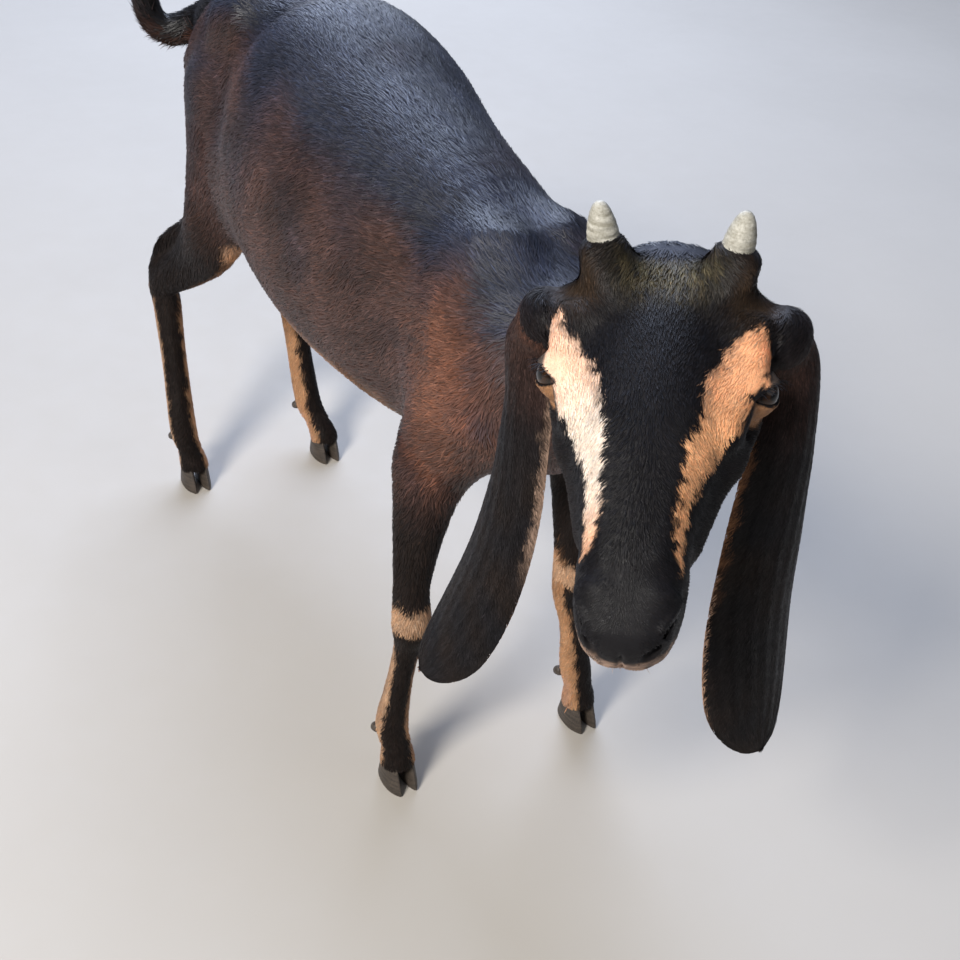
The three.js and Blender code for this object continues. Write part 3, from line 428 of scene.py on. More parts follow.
def mouth_groove(q):
    """The groove between the lips, with a soft rim on each side."""
    x = np.abs(q[:, 0])
    t = np.arctan2(x, -(q[:, 1] + 152)) / math.radians(128)
    rise = q[:, 2] - (-45.5 - 3.5 * np.minimum(t, 1.2) ** 3)
    fade = 1 - smooth(0.86, 1.02, t)
    groove = -2.6 * np.exp(-(rise / 1.15) ** 2)
    rims = 0.7 * np.exp(-((rise - 3.0) / 1.8) ** 2) + 0.8 * np.exp(-((rise + 3.2) / 1.8) ** 2)
    cleft = -1.7 * np.exp(-(x / 1.1) ** 2) * smooth(-175, -182, q[:, 1]) * smooth(-45, -41, q[:, 2])
    cleft *= 1 - smooth(-27, -22, q[:, 2])
    return (groove + rims) * fade + cleft


DEPTH = {"body": 1.4, "legs": 0.9, "head": 0.8, "muzzle": 0.3}


def coat_depth(p, q):
    """How far the skin lies inside the solids' flesh."""
    from_head_middle = np.sqrt((q + np.array([0, 92, 30], q.dtype)) ** 2 @ np.ones(3, q.dtype))
    in_head = smooth(24, 0, q[:, 1]) * smooth(215, 170, from_head_middle)
    on_muzzle = smooth(-152, -172, q[:, 1]) * in_head
    body = DEPTH["body"] - (DEPTH["body"] - DEPTH["legs"]) * smooth(230, 150, p[:, 2])
    return mix(mix(body, DEPTH["head"], in_head), DEPTH["muzzle"], on_muzzle)


def head_field(q, margin):
    half = halved(q)
    head = skull(q, margin + 14)
    # each form's mirrored twin reaches over the middle plane
    near = np.flatnonzero(half[:, 0] < 30)
    twin = half[near] * np.array([-1, 1, 1], q.dtype)
    for blend, form in head_forms:
        head = blended(head, form(half, margin + blend), blend)
        head[near] = blended(head[near], form(twin, margin + blend), blend)
    return head


NECK_BLEND, TAIL_BLEND, HEAD_BLEND = 46, 18, 22


def body_field(p, margin=12.0):
    """The solids' flesh, without the ears; only within the margin is it exact."""
    distance = blended(trunk(p, margin + NECK_BLEND), neck(p, margin + NECK_BLEND), NECK_BLEND)
    for blend, form in limbs:
        distance = blended(distance, form(p, margin + blend), blend)
    distance = blended(distance, tail(p, margin + TAIL_BLEND), TAIL_BLEND)
    q = to_head(p)
    near = np.flatnonzero(((q > np.array([-75, -205, -110]) - margin)
                           & (q < np.array([75, 70, 50]) + margin)).all(1))
    if near.size:
        head = head_field(q[near], margin + HEAD_BLEND)
        distance[near] = blended(distance[near], head, HEAD_BLEND)
    return distance


def head_relief(q):
    return ridges((halved(q), HEAD_FOLDS)) + mouth_groove(q)


def body_relief(b):
    x, y, z = b.T
    mirrored_points = np.concatenate([np.abs(b[:, :1] - 2), b[:, 1:]], 1)
    extra = ridges((mirrored_points, BODY_FOLDS), (b, NECK_FOLDS))
    # the backbone, and ribs that show a little behind the shoulder
    top = smooth(420, 440, z) * smooth(20, 60, y) * (1 - smooth(400, 440, y))
    spine = np.exp(-((x - np.interp(y, [0, 160, 240, 310, 400], [0, 2, 9, 10, 2])) / 8) ** 2)
    extra += top * spine * (1.0 + 0.12 * np.sin(y * 2 * math.pi / 21))
    side_of_chest = between(270, 300, 400, 440, z) * smooth(45, 60, mirrored_points[:, 0])
    ribs = between(110, 150, 290, 330, y) * side_of_chest
    extra += 0.25 * ribs * np.sin((y + 0.35 * (z - 350)) * 2 * math.pi / 23)
    return extra


def skin_field(p, margin=12.0):
    """The flesh less the coat's depth, with lids, folds, nostrils and mouth."""
    q = to_head(p)
    distance = body_field(p, margin) + coat_depth(p, q).astype(p.dtype)
    at_surface = np.flatnonzero(np.abs(distance) < 14)
    s, q = p[at_surface], q[at_surface]
    in_head = (np.abs(q + np.array([0, 101.5, 30], q.dtype)) < [75, 113.5, 90]).all(1)
    low = s[:, 2] < 235
    lifted = np.zeros(len(s), p.dtype)
    for relief, where, chosen in ((head_relief, q, in_head), (body_relief, s, s[:, 2] > 225),
                                  (leg_relief, s, low)):
        if chosen.any():
            lifted[chosen] += relief(where[chosen])
    distance[at_surface] -= lifted
    rows = at_surface[low]
    distance[rows] = np.maximum(distance[rows], above_claws(s[low]))
    rows, h = at_surface[in_head], halved(q[in_head])
    value = distance[rows]
    close = ((h - EYE_PLACE) ** 2).sum(1) < 24 ** 2
    value[close] = lidded(h[close], value[close])
    distance[rows] = carved(value, nostril(h, 12), 1.6)
    return distance


def above_claws(s):
    """How far a point lies under the crowns of the claws, where the skin ends inside them."""
    crown = np.full(len(s), -FAR, s.dtype)
    for legs in (FORELEGS, HINDLEGS):
        for side in (1, -1):
            foot = legs[side]["foot"]
            near = (np.abs(s[:, 0] - foot[0]) < 30) & (np.abs(s[:, 1] - foot[1]) < 40)
            front = 0.5 - (s[:, 1] - foot[1]) / CLAW_LENGTH
            height = CLAW_BACK + (CLAW_FRONT - CLAW_BACK) * np.clip(front, -0.1, 1.1)
            crown = np.where(near, height - 1.2 - s[:, 2], crown)
    return crown


def leg_relief(s):
    """The tendons behind each cannon bone, and the creases over the pasterns."""
    extra = np.zeros(len(s), s.dtype)
    height = s[:, 2]
    for line in LEGS.values():
        x, y = centre_at(line, height)
        dx, dy = s[:, 0] - x, s[:, 1] - y
        close = np.exp(-((dx ** 2 + dy ** 2) / 30 ** 2) ** 2)
        cannon = between(64, 78, 128, 150, height)
        groove = np.exp(-((np.abs(dx) - 7.5) / 2.4) ** 2 - ((dy - 5.5) / 3.4) ** 2)
        extra -= 1.1 * cannon * close * groove
        extra += 0.8 * cannon * close * (np.exp(-(dx / 4.5) ** 2) * (dy > 0))
        crease = np.exp(-((height - 37) / 2.2) ** 2) + 0.7 * np.exp(-((height - 45) / 1.8) ** 2)
        extra -= 0.7 * close * crease * (dy < 4)
    return extra


# Work spread over the processor's cores
def in_chunks(work, p, size=40000):
    if len(p) <= size:
        return work(p)
    pieces = [p[i:i + size] for i in range(0, len(p), size)]
    with ThreadPoolExecutor(4) as pool:
        return np.concatenate(list(pool.map(work, pieces)))


def settled(p, passes=2, most=1.5, probe=0.3):
    """Points moved onto the skin."""
    def work(part):
        for _ in range(passes):
            here = skin_field(part)
            slope = np.stack([skin_field(part + np.eye(3, dtype=np.float32)[axis] * probe) - here
                              for axis in range(3)], 1) / probe
            steep = np.maximum((slope ** 2).sum(1), 0.2)
            part = part - slope * np.clip(here / steep, -most, most)[:, None]
        return part
    return in_chunks(work, np.asarray(p, np.float32), 12000)


# The skin's mesh. Space is magnified round the head, so that one even lattice gives it the
# finer faces.
MAGNIFY, HEAD_REACH, FADE = 3.5, 105.0, 45.0
CELL, BLOCK = 6.1, 16
head_middle = from_head(np.array([0, -92, -30]))
radii = np.linspace(0, 1300, 2601)
grown = np.where(radii < HEAD_REACH, MAGNIFY * radii,
                 MAGNIFY * HEAD_REACH + (radii - HEAD_REACH)
                 + (MAGNIFY - 1) * FADE * (1 - np.exp(-np.maximum(radii - HEAD_REACH, 0) / FADE)))


def magnified(p):
    away = p - head_middle
    r = np.maximum(np.linalg.norm(away, axis=1), 1e-6)
    return away * (np.interp(r, radii, grown) / r)[:, None]


def restored(w):
    r = np.maximum(np.linalg.norm(w, axis=1), 1e-6)
    return (w * (np.interp(r, grown, radii) / r)[:, None] + head_middle).astype(np.float32)


def lattice_values(low, counts):
    """The skin's field on the lattice: far blocks are skipped, near ones divided down to points."""
    def spread(*ranges):
        return np.stack(np.meshgrid(*ranges, indexing="ij"), -1).reshape(-1, 3)

    values = np.full(counts, 50, np.float32)
    grid = spread(*[np.arange(0, n, BLOCK) for n in counts])
    for size, step in ((BLOCK, 4), (4, 1)):
        centre = restored(low + (grid + (size - 1) / 2) * CELL)
        half = size * CELL / 2 * math.sqrt(3)
        found = in_chunks(lambda p: body_field(p, half + 12), centre)
        r = np.linalg.norm(centre - head_middle, axis=1) + half * 0.6
        magnify = 1 + (MAGNIFY - 1) * np.exp(-np.maximum(r - HEAD_REACH, 0) / FADE)
        keep = np.abs(found) < half * 1.45 / magnify + 5
        filled = (grid[~keep & (found < 0)][:, None] + spread(*[np.arange(size)] * 3)).reshape(-1, 3)
        values[tuple(filled.T)] = -50
        grid = (grid[keep][:, None] + spread(*[np.arange(0, size, step)] * 3)).reshape(-1, 3)
    found = in_chunks(lambda p: skin_field(p, 10.0), restored(low + grid * CELL))
    values[tuple(grid.T)] = found
    return values


def surface_nets(values):
    """Points in lattice units and quads of the surface where the values change sign."""
    inside = values < 0
    corners = [inside[i:inside.shape[0] - 1 + i, j:inside.shape[1] - 1 + j, k:inside.shape[2] - 1 + k]
               for i in (0, 1) for j in (0, 1) for k in (0, 1)]
    cells = np.argwhere(np.logical_or.reduce(corners) & ~np.logical_and.reduce(corners))
    number = np.full(corners[0].shape, -1, np.int32)
    number[tuple(cells.T)] = np.arange(len(cells))
    total = np.zeros((len(cells), 3))
    count = np.zeros(len(cells))
    for axis in range(3):
        for a in (0, 1):
            for b in (0, 1):
                start = np.zeros(3, int)
                start[(axis + 1) % 3], start[(axis + 2) % 3] = a, b
                end = start.copy()
                end[axis] = 1
                v0 = values[tuple((cells + start).T)]
                v1 = values[tuple((cells + end).T)]
                crossed = (v0 < 0) != (v1 < 0)
                t = np.where(crossed, v0 / np.where(crossed, v0 - v1, 1), 0)
                point = start + (end - start) * t[:, None]
                total += point * crossed[:, None]
                count += crossed
    points = cells + total / count[:, None]
    quads = []
    for axis in range(3):
        second, third = (axis + 1) % 3, (axis + 2) % 3
        here = np.take(inside, np.arange(inside.shape[axis] - 1), axis)
        there = np.take(inside, np.arange(1, inside.shape[axis]), axis)
        edges = np.argwhere(here != there)
        limit = np.array(inside.shape) - 1
        edges = edges[(edges[:, second] > 0) & (edges[:, third] > 0)
                      & (edges[:, second] < limit[second]) & (edges[:, third] < limit[third])]
        ring = []
        for back_second, back_third in ((1, 1), (0, 1), (0, 0), (1, 0)):
            cell = edges.copy()
            cell[:, second] -= back_second
            cell[:, third] -= back_third
            ring.append(number[tuple(cell.T)])
        ring = np.stack(ring, 1)
        turned = ~inside[tuple(edges.T)]
        ring[turned] = ring[turned][:, ::-1]
        quads.append(ring)
    return points, np.concatenate(quads)


def halved_quads(points, quads):
    a, b, c, d = (points[quads[:, k]] for k in range(4))
    short = ((a - c) ** 2).sum(1) < ((b - d) ** 2).sum(1)
    first = np.where(short[:, None], quads[:, [0, 1, 2]], quads[:, [0, 1, 3]])
    second = np.where(short[:, None], quads[:, [0, 2, 3]], quads[:, [1, 2, 3]])
    return np.concatenate([first, second])


def refined(points, triangles, marked):
    """Marked triangles split in four, and their neighbours as they need."""
    edges = np.sort(triangles[:, [[0, 1], [1, 2], [2, 0]]], -1)
    key = edges[..., 0].astype(np.int64) * len(points) + edges[..., 1]
    split, where = np.unique(key[marked], return_index=True)
    middles = points[edges[marked].reshape(-1, 2)[where]].mean(1)
    slot = np.minimum(np.searchsorted(split, key), len(split) - 1)
    has = split[slot] == key
    mid = np.where(has, slot + len(points), -1)
    cut = has.sum(1)
    out = [triangles[cut == 0]]
    for turn in range(3):
        order = [(turn + k) % 3 for k in range(3)]
        one = (cut == 1) & has[:, order[0]]
        a, b, c = (triangles[one][:, k] for k in order)
        m = mid[one][:, order[0]]
        out += [np.stack([a, m, c], 1), np.stack([m, b, c], 1)]
        two = (cut == 2) & ~has[:, order[2]]
        a, b, c = (triangles[two][:, k] for k in order)
        m, n = mid[two][:, order[0]], mid[two][:, order[1]]
        out += [np.stack([m, b, n], 1), np.stack([a, m, n], 1), np.stack([a, n, c], 1)]
    a, b, c = triangles[cut == 3].T
    m, n, o = mid[cut == 3].T
    out += [np.stack(s, 1) for s in ((a, m, o), (m, b, n), (o, n, c), (m, n, o))]
    return np.concatenate([points, middles]), np.concatenate(out)


def evened(points, triangles, passes, share):
    """Points drawn towards the mean of their neighbours, the total shape kept by settling."""
    edges = np.unique(np.sort(triangles[:, [[0, 1], [1, 2], [2, 0]]].reshape(-1, 2), 1), axis=0)
    count = np.bincount(edges.ravel(), minlength=len(points))[:, None]
    for _ in range(passes):
        total = np.zeros_like(points)
        for axis in range(3):
            total[:, axis] = (np.bincount(edges[:, 0], points[edges[:, 1], axis], len(points))
                              + np.bincount(edges[:, 1], points[edges[:, 0], axis], len(points)))
        points = points + share * (total / np.maximum(count, 1) - points)
    return points


def normals_of(points, triangles):
    a, b, c = (points[triangles[:, k]] for k in range(3))
    face = np.cross(b - a, c - a)
    total = np.zeros_like(points)
    for k in range(3):
        for axis in range(3):
            total[:, axis] += np.bincount(triangles[:, k], face[:, axis], len(points))
    return unit(total)


def make_skin():
    box = np.stack(np.meshgrid([-188, -60, 30, 128], np.linspace(-335, 548, 12),
                               np.linspace(-4, 562, 9), indexing="ij"), -1).reshape(-1, 3)
    space = magnified(box)
    low = space.min(0) - CELL
    counts = (np.ceil((space.max(0) + CELL - low) / CELL / BLOCK) * BLOCK).astype(int)
    points, quads = surface_nets(lattice_values(low, counts))
    points = restored(low + points * CELL).astype(float)
    triangles = halved_quads(points, quads)
    points = settled(points, 1, 3.0).astype(float)
    points = evened(points, triangles, 2, 0.45)
    points = settled(points, 2).astype(float)
    # finer faces round the eyes, the nostrils and the mouth
    h = halved(to_head(points))
    fine = (np.linalg.norm(h - EYE_PLACE, axis=1) < 20) & (h[:, 0] > 38)
    fine |= (h[:, 1] < -160) & (h[:, 2] > -34) & (h[:, 2] < -10) & (h[:, 0] > 5)
    fine |= (h[:, 1] < -120) & (np.abs(h[:, 2] + 46.5) < 3.5)
    points, triangles = refined(points, triangles, fine[triangles].all(1))
    near = np.unique(triangles[(triangles >= len(h)).any(1)])
    points[near] = settled(points[near], 2, 0.8, 0.2)
    return points, triangles


# Ears
def ear_frame(side):
    """The line of an ear's ridge and the frames along it, finely."""
    swing = EAR_SWING[side]
    root = from_head([side * (EAR_ROOT_SIDE + 0.3), -30, -11])
    shoulder = from_head([side * (swing["bend"] * 0.6 + EAR_ROOT_SIDE * 0.4), -34, -20])
    bend = from_head([side * swing["bend"], -38, -38])
    turn = math.radians(HEAD_TURN)
    outward = np.array([side * math.cos(turn), side * math.sin(turn), 0])
    forward = np.array([math.sin(turn), -math.cos(turn), 0])
    path = [root, shoulder, bend]
    for t in (0.15, 0.4, 0.65, 0.85, 1):
        path.append(bend + outward * (swing["lean"] * smooth(0, 0.25, t) + swing["flare"] * t ** 3)
                    + forward * swing["swing"] * t - np.array([0, 0, 1]) * swing["drop"] * t)
    line = centripetal(np.array(path))
    lengths = np.concatenate([[0], np.cumsum(np.linalg.norm(np.diff(line, axis=0), axis=1))])
    return line, lengths / lengths[-1], outward, forward


def centripetal(path, steps=60):
    """A centripetal Catmull-Rom curve, with its end points carried on."""
    full = np.concatenate([[2 * path[0] - path[1]], path, [2 * path[-1] - path[-2]]])
    out = []
    for i in range(1, len(full) - 2):
        p0, p1, p2, p3 = full[i - 1:i + 3]
        d0, d1, d2 = (max(np.linalg.norm(b - a) ** 0.5, 1e-4) for a, b in ((p0, p1), (p1, p2), (p2, p3)))
        m1 = ((p1 - p0) / d0 - (p2 - p0) / (d0 + d1) + (p2 - p1) / d1) * d1
        m2 = ((p2 - p1) / d1 - (p3 - p1) / (d1 + d2) + (p3 - p2) / d2) * d1
        for t in np.arange(steps) / steps:
            out.append(p1 + m1 * t + (-3 * p1 + 3 * p2 - 2 * m1 - m2) * t ** 2
                       + (2 * p1 - 2 * p2 + m1 + m2) * t ** 3)
    out.append(full[-2])
    return np.array(out)


EAR_ROWS, EAR_COLUMNS = 84, 36
EAR_END = 0.9995  # the tip, just short of where the sheet closes


def tip_share(down):
    """How much of an ear's breadth is left where its tip rounds off."""
    return np.sqrt(np.maximum(1 - np.maximum((down - 0.82) / 0.18, 0) ** 2.2, 0.0))


class Ear:
    """Both faces of an ear as functions of the way down it and across it (-1 to 1)."""

    def __init__(self, side):
        self.side = side
        self.line, self.share, outward, forward = ear_frame(side)
        turn = math.radians(EAR_SWING[side]["turn"])
        self.hung_out = outward * math.cos(turn) + forward * math.sin(turn)
        self.tangents = unit(np.gradient(self.line, axis=0))
        self.shape = curve_through(EAR_SHAPE, 24)

    def sized(self, down, column):
        """Half the breadth (1), the curl (2) or the thickness (3) at a way down."""
        return np.interp(down, self.shape[:, 0], self.shape[:, column])

    def place(self, down, across, face):
        """face 1 is the outer side and 0 the inner one; gives points."""
        down, across, face = np.broadcast_arrays(down, across, face)
        point, tangent = (np.stack([np.interp(down, self.share, rows[:, k]) for k in range(3)], -1)
                          for rows in (self.line, self.tangents))
        at_root = (1 - smooth(0, 0.03, down))[..., None]
        tangent = unit(mix(unit(tangent), HEAD_AXES[:, 0] * self.side, at_root))
        half_width, curl, thickness = (self.sized(down, column) for column in (1, 2, 3))
        round_tip = tip_share(down)
        width = half_width * EAR_SWING[self.side]["breadth"] * np.maximum(round_tip, 0.02)
        normal = unit(mix(HEAD_AXES[:, 2], self.hung_out, smooth(0, 0.3, down)[..., None]))
        out = unit(normal - tangent * (normal * tangent).sum(-1, keepdims=True))
        side_way = np.cross(tangent, out) * self.side
        radius = half_width / curl
        angle = across * width / radius
        # shallow lengthwise waves and veins, stronger towards the rims
        wave = 0.5 * np.sin(across * 9 + down * 3) * np.abs(across) * smooth(0.12, 0.3, down)
        wave = wave + 0.28 * np.sin(across * 23 + 2 * np.sin(down * 9)) * smooth(0.1, 0.25, down)
        wave = wave * (1 - smooth(0.9, 1, down))
        thick = np.minimum(thickness, radius * 0.94) * (1 - 0.55 * across ** 2) * (0.3 + 0.7 * round_tip)
        reach = radius + wave * 0.8 - np.where(face > 0.5, 0.5, thick - 0.5)
        off_out = reach * np.cos(angle) - radius
        return point + out * off_out[..., None] + side_way * (reach * np.sin(angle))[..., None]

    def front(self):
        """1 where the positive rim is the one towards the face, else -1."""
        a, b = self.place(np.array([0.5, 0.5]), np.array([1.0, -1.0]), 1)
        return 1 if (a - b) @ (-HEAD_AXES[:, 1]) > 0 else -1


def ear_mesh(ear):
    """One closed sheet: the outer face, the rim and the inner face."""
    rows, columns, under = EAR_ROWS, EAR_COLUMNS, EAR_ROWS * EAR_COLUMNS
    down = np.minimum(1 - (1 - np.linspace(0, 1, rows)) ** 1.3, EAR_END)
    across = np.sin(np.linspace(-1, 1, columns) * math.pi / 2 * 0.94) / math.sin(math.pi / 2 * 0.94)
    down, across = (grid.ravel() for grid in np.meshgrid(down, across, indexing="ij"))
    points = np.concatenate([ear.place(down, across, face) for face in (1, 0)])
    params = np.concatenate([np.stack([down, across, np.full(under, face)], 1) for face in (1, 0)])
    a = (np.arange(rows - 1)[:, None] * columns + np.arange(columns - 1)).ravel()
    b, c, d = a + 1, a + columns + 1, a + columns
    left = np.arange(rows - 1) * columns
    right = left + columns - 1
    last = (rows - 1) * columns + np.arange(columns - 1)
    quads = np.concatenate([np.stack(ring, 1) for ring in (
        (a, b, c, d), (a + under, d + under, c + under, b + under),
        (left + columns, left + columns + under, left + under, left),
        (right, right + under, right + columns + under, right + columns),
        (last, last + 1, last + under + 1, last + under))])
    if ear.side < 0:
        quads = quads[:, ::-1]
    return points, np.concatenate([quads[:, [0, 1, 2]], quads[:, [0, 2, 3]]]), params


# Number, length and width of the tufts on an ear's outer face (1) and inner one (0)
EAR_TUFTS = {1: (21000, 5.0, 0.55), 0: (9000, 5.5, 0.6)}

# Where each point belongs, and an unwrap of the skin's own shape: an angle round each region's
# line and a share of the way along it
TORSO_R, NECK_R, HEAD_R, TAIL_R, FL, FR, HL, HR = range(8)
EAR_R = {(1, 1): 8, (1, 0): 9, (-1, 1): 10, (-1, 0): 11}
ISLANDS = {
    TORSO_R: (0.01, 0.01, 0.54, 0.46), HL: (0.56, 0.01, 0.77, 0.34), HR: (0.785, 0.01, 0.99, 0.34),
    FL: (0.56, 0.36, 0.70, 0.62), FR: (0.715, 0.36, 0.85, 0.62), NECK_R: (0.865, 0.36, 0.99, 0.62),
    HEAD_R: (0.01, 0.48, 0.54, 0.80), TAIL_R: (0.56, 0.64, 0.76, 0.80),
    8: (0.01, 0.82, 0.24, 0.99), 9: (0.255, 0.82, 0.48, 0.99),
    10: (0.50, 0.82, 0.73, 0.99), 11: (0.745, 0.82, 0.97, 0.99),
}


def beyond(p, at, facing):
    return (p - np.array(at, float)) @ unit(facing)


def region_of(p):
    region = np.full(len(p), TORSO_R)
    for side, fore, hind in ((1, FL, HL), (-1, FR, HR)):
        in_fore = (beyond(p, [side * 40, 20, 262], [side * 0.72, 0, -0.7]) > 0) & (p[:, 0] * side > 24)
        region[in_fore & (p[:, 1] < 150)] = fore
        in_hind = (beyond(p, [side * 26, 400, 300], [side * 0.86, 0, -0.5]) > 0) & (p[:, 0] * side > 6)
        in_hind &= beyond(p, [side * 60, 324, 285], [0, 0.9, -0.42]) > 0
        region[in_hind] = hind
    region[(beyond(p, [-1, 468, 408], [-0.05, 0.76, 0.64]) > 0) & (p[:, 2] > 350)] = TAIL_R
    region[beyond(p, [0, -40, 400], [-0.12, -0.86, 0.5]) > 0] = NECK_R
    q = to_head(p)
    region[(beyond(q, [0, 3, -40], [0, -0.97, 0.12]) > 0)
           & (np.linalg.norm(q - np.array([0, -92, -30]), axis=1) < 175)] = HEAD_R
    return region


def round_line(p, line, axis, low, high):
    """The angle round a line of centres that runs along an axis, and the share along it."""
    line = np.array(line, float)
    line = line[np.argsort(line[:, axis])]
    others = [k for k in range(3) if k != axis]
    centre = [np.interp(p[:, axis], line[:, axis], line[:, k]) for k in others]
    angle = np.arctan2(p[:, others[0]] - centre[0], p[:, others[1]] - centre[1])
    return angle / (2 * math.pi) + 0.5, (p[:, axis] - low) / (high - low)


# The line that each region is unwrapped round, the axis it runs along, and its two ends there
ROUTES = {
    TORSO_R: (TORSO, 1, -105, 495), NECK_R: (NECK, 1, -185, -5),
    HEAD_R: ([[0, 20, -36], [0, -200, -36]], 1, -200, 25),
    FL: (LEGS[1, False], 2, 5, 320), FR: (LEGS[-1, False], 2, 5, 320),
    HL: (LEGS[1, True], 2, 5, 440), HR: (LEGS[-1, True], 2, 5, 440),
}
TAIL_LINE = curve_through(TAIL, 6)[:, :3]
TAIL_WAY = unit(np.gradient(TAIL_LINE, axis=0))


def nearest_of_tail(p):
    return ((p[:, None] - TAIL_LINE) ** 2).sum(-1).argmin(1)


def unwrapped(p, region):
    uv = np.zeros((len(p), 2))
    for r in np.unique(region):
        mine = region == r
        s = p[mine]
        if r == TAIL_R:
            near = nearest_of_tail(s)
            axis = TAIL_WAY[near]
            up = unit(TAIL_UP - axis * (axis @ TAIL_UP)[:, None])
            off = s - TAIL_LINE[near]
            u = np.arctan2((off * np.cross(axis, up)).sum(1), (off * up).sum(1)) / (2 * math.pi) + 0.5
            v = (near + np.clip((off * axis).sum(1) / 6, -0.5, 0.5)) / len(TAIL_LINE)
        else:
            u, v = round_line(to_head(s) if r == HEAD_R else s, *ROUTES[r])
        uv[mine] = np.stack([u, v], 1)
    return uv


def on_island(uv, region):
    place = np.array([ISLANDS[r] for r in range(12)])[region]
    return place[:, :2] + np.clip(uv, [-0.02, 0], [1.02, 1]) * (place[:, 2:] - place[:, :2])


# Markings, with a painted sheen among them. Colours are linear.
def shade(text):
    value = np.array([int(text[i:i + 2], 16) for i in (0, 2, 4)]) / 255
    return np.where(value < 0.04045, value / 12.92, ((value + 0.055) / 1.055) ** 2.4)


BLACK, SOOT, CHOCOLATE = shade("151417"), shade("1d1715"), shade("452f27")
RUSSET, TAN, CREAM = shade("6c4431"), shade("b98457"), shade("eac0a4")
PEACH, OLIVE, GREY_BROWN, PINK = shade("e6a97f"), shade("5e5640"), shade("6a5c53"), shade("a67a68")
# a black lightened and turned blue: a painted sheen for the sky's reflection on the top of the coat
SHEEN_BLUE_BLACK = shade("232633")
LEG_TAN = shade("b18e72")


def wobble(p, scale, seed=0):
    """Soft noise from a few waves, about -1 to 1."""
    waves = np.random.default_rng(100 + seed)
    total = np.zeros(len(p))
    for _ in range(7):
        way = unit(waves.normal(size=3))
        total += np.sin(p @ way * (2 * math.pi / scale) * waves.uniform(0.6, 1.7) + waves.uniform(0, 6.3))
    return total / 3.2


def paint(colour, tone, weight):
    return colour + (tone - colour) * np.clip(weight, 0, 1)[:, None]


# The pale stripe down each side of the face: way from the poll to the nose, inner edge, outer
# edge, and how low it comes on the side of the head
STRIPES = {
    -1: [(35, 47, 49, -6), (38, 46.4, 52, -9), (43, 44.2, 53, -13), (48, 40.2, 53, -15),
         (52, 35.4, 54, -17), (57, 31.9, 54, -18), (64, 27.1, 54, -18), (71, 24.6, 49, -10.5),
         (77, 22.9, 46, -14), (85, 20.7, 40.5, -14), (90, 19.4, 37, -13), (97, 17.6, 32.3, -16.3),
         (104, 16, 29.5, -16), (113, 14.9, 25, -11.5), (121, 15.5, 23, -10.5), (130, 14.9, 22.3, -14.5),
         (138, 16, 22, -17), (146, 16.6, 21.6, -18.5), (149, 18.2, 21.6, -19.6), (151, 21, 21.6, -20)],
    1: [(36, 44.5, 46, -4), (38, 42.6, 47.3, -6), (42, 37.2, 50, -9), (46, 33.5, 52, -11),
        (52, 30.5, 52, -11.5), (58, 28.2, 51, -11), (64, 24.8, 50, -10), (71, 22.2, 47, -10),
        (78, 22, 43, -12.5), (85, 22.4, 39.5, -12), (91, 21.2, 35.2, -12.4), (97, 19, 32.3, -16.5),
        (104, 17, 29, -15), (113, 16.6, 25, -11.3), (122, 16.4, 22.4, -11), (131, 16.3, 21.2, -12.5),
        (139, 16.9, 20.9, -15), (147, 18.4, 21, -17.6), (153, 21.1, 21.7, -20)],
}


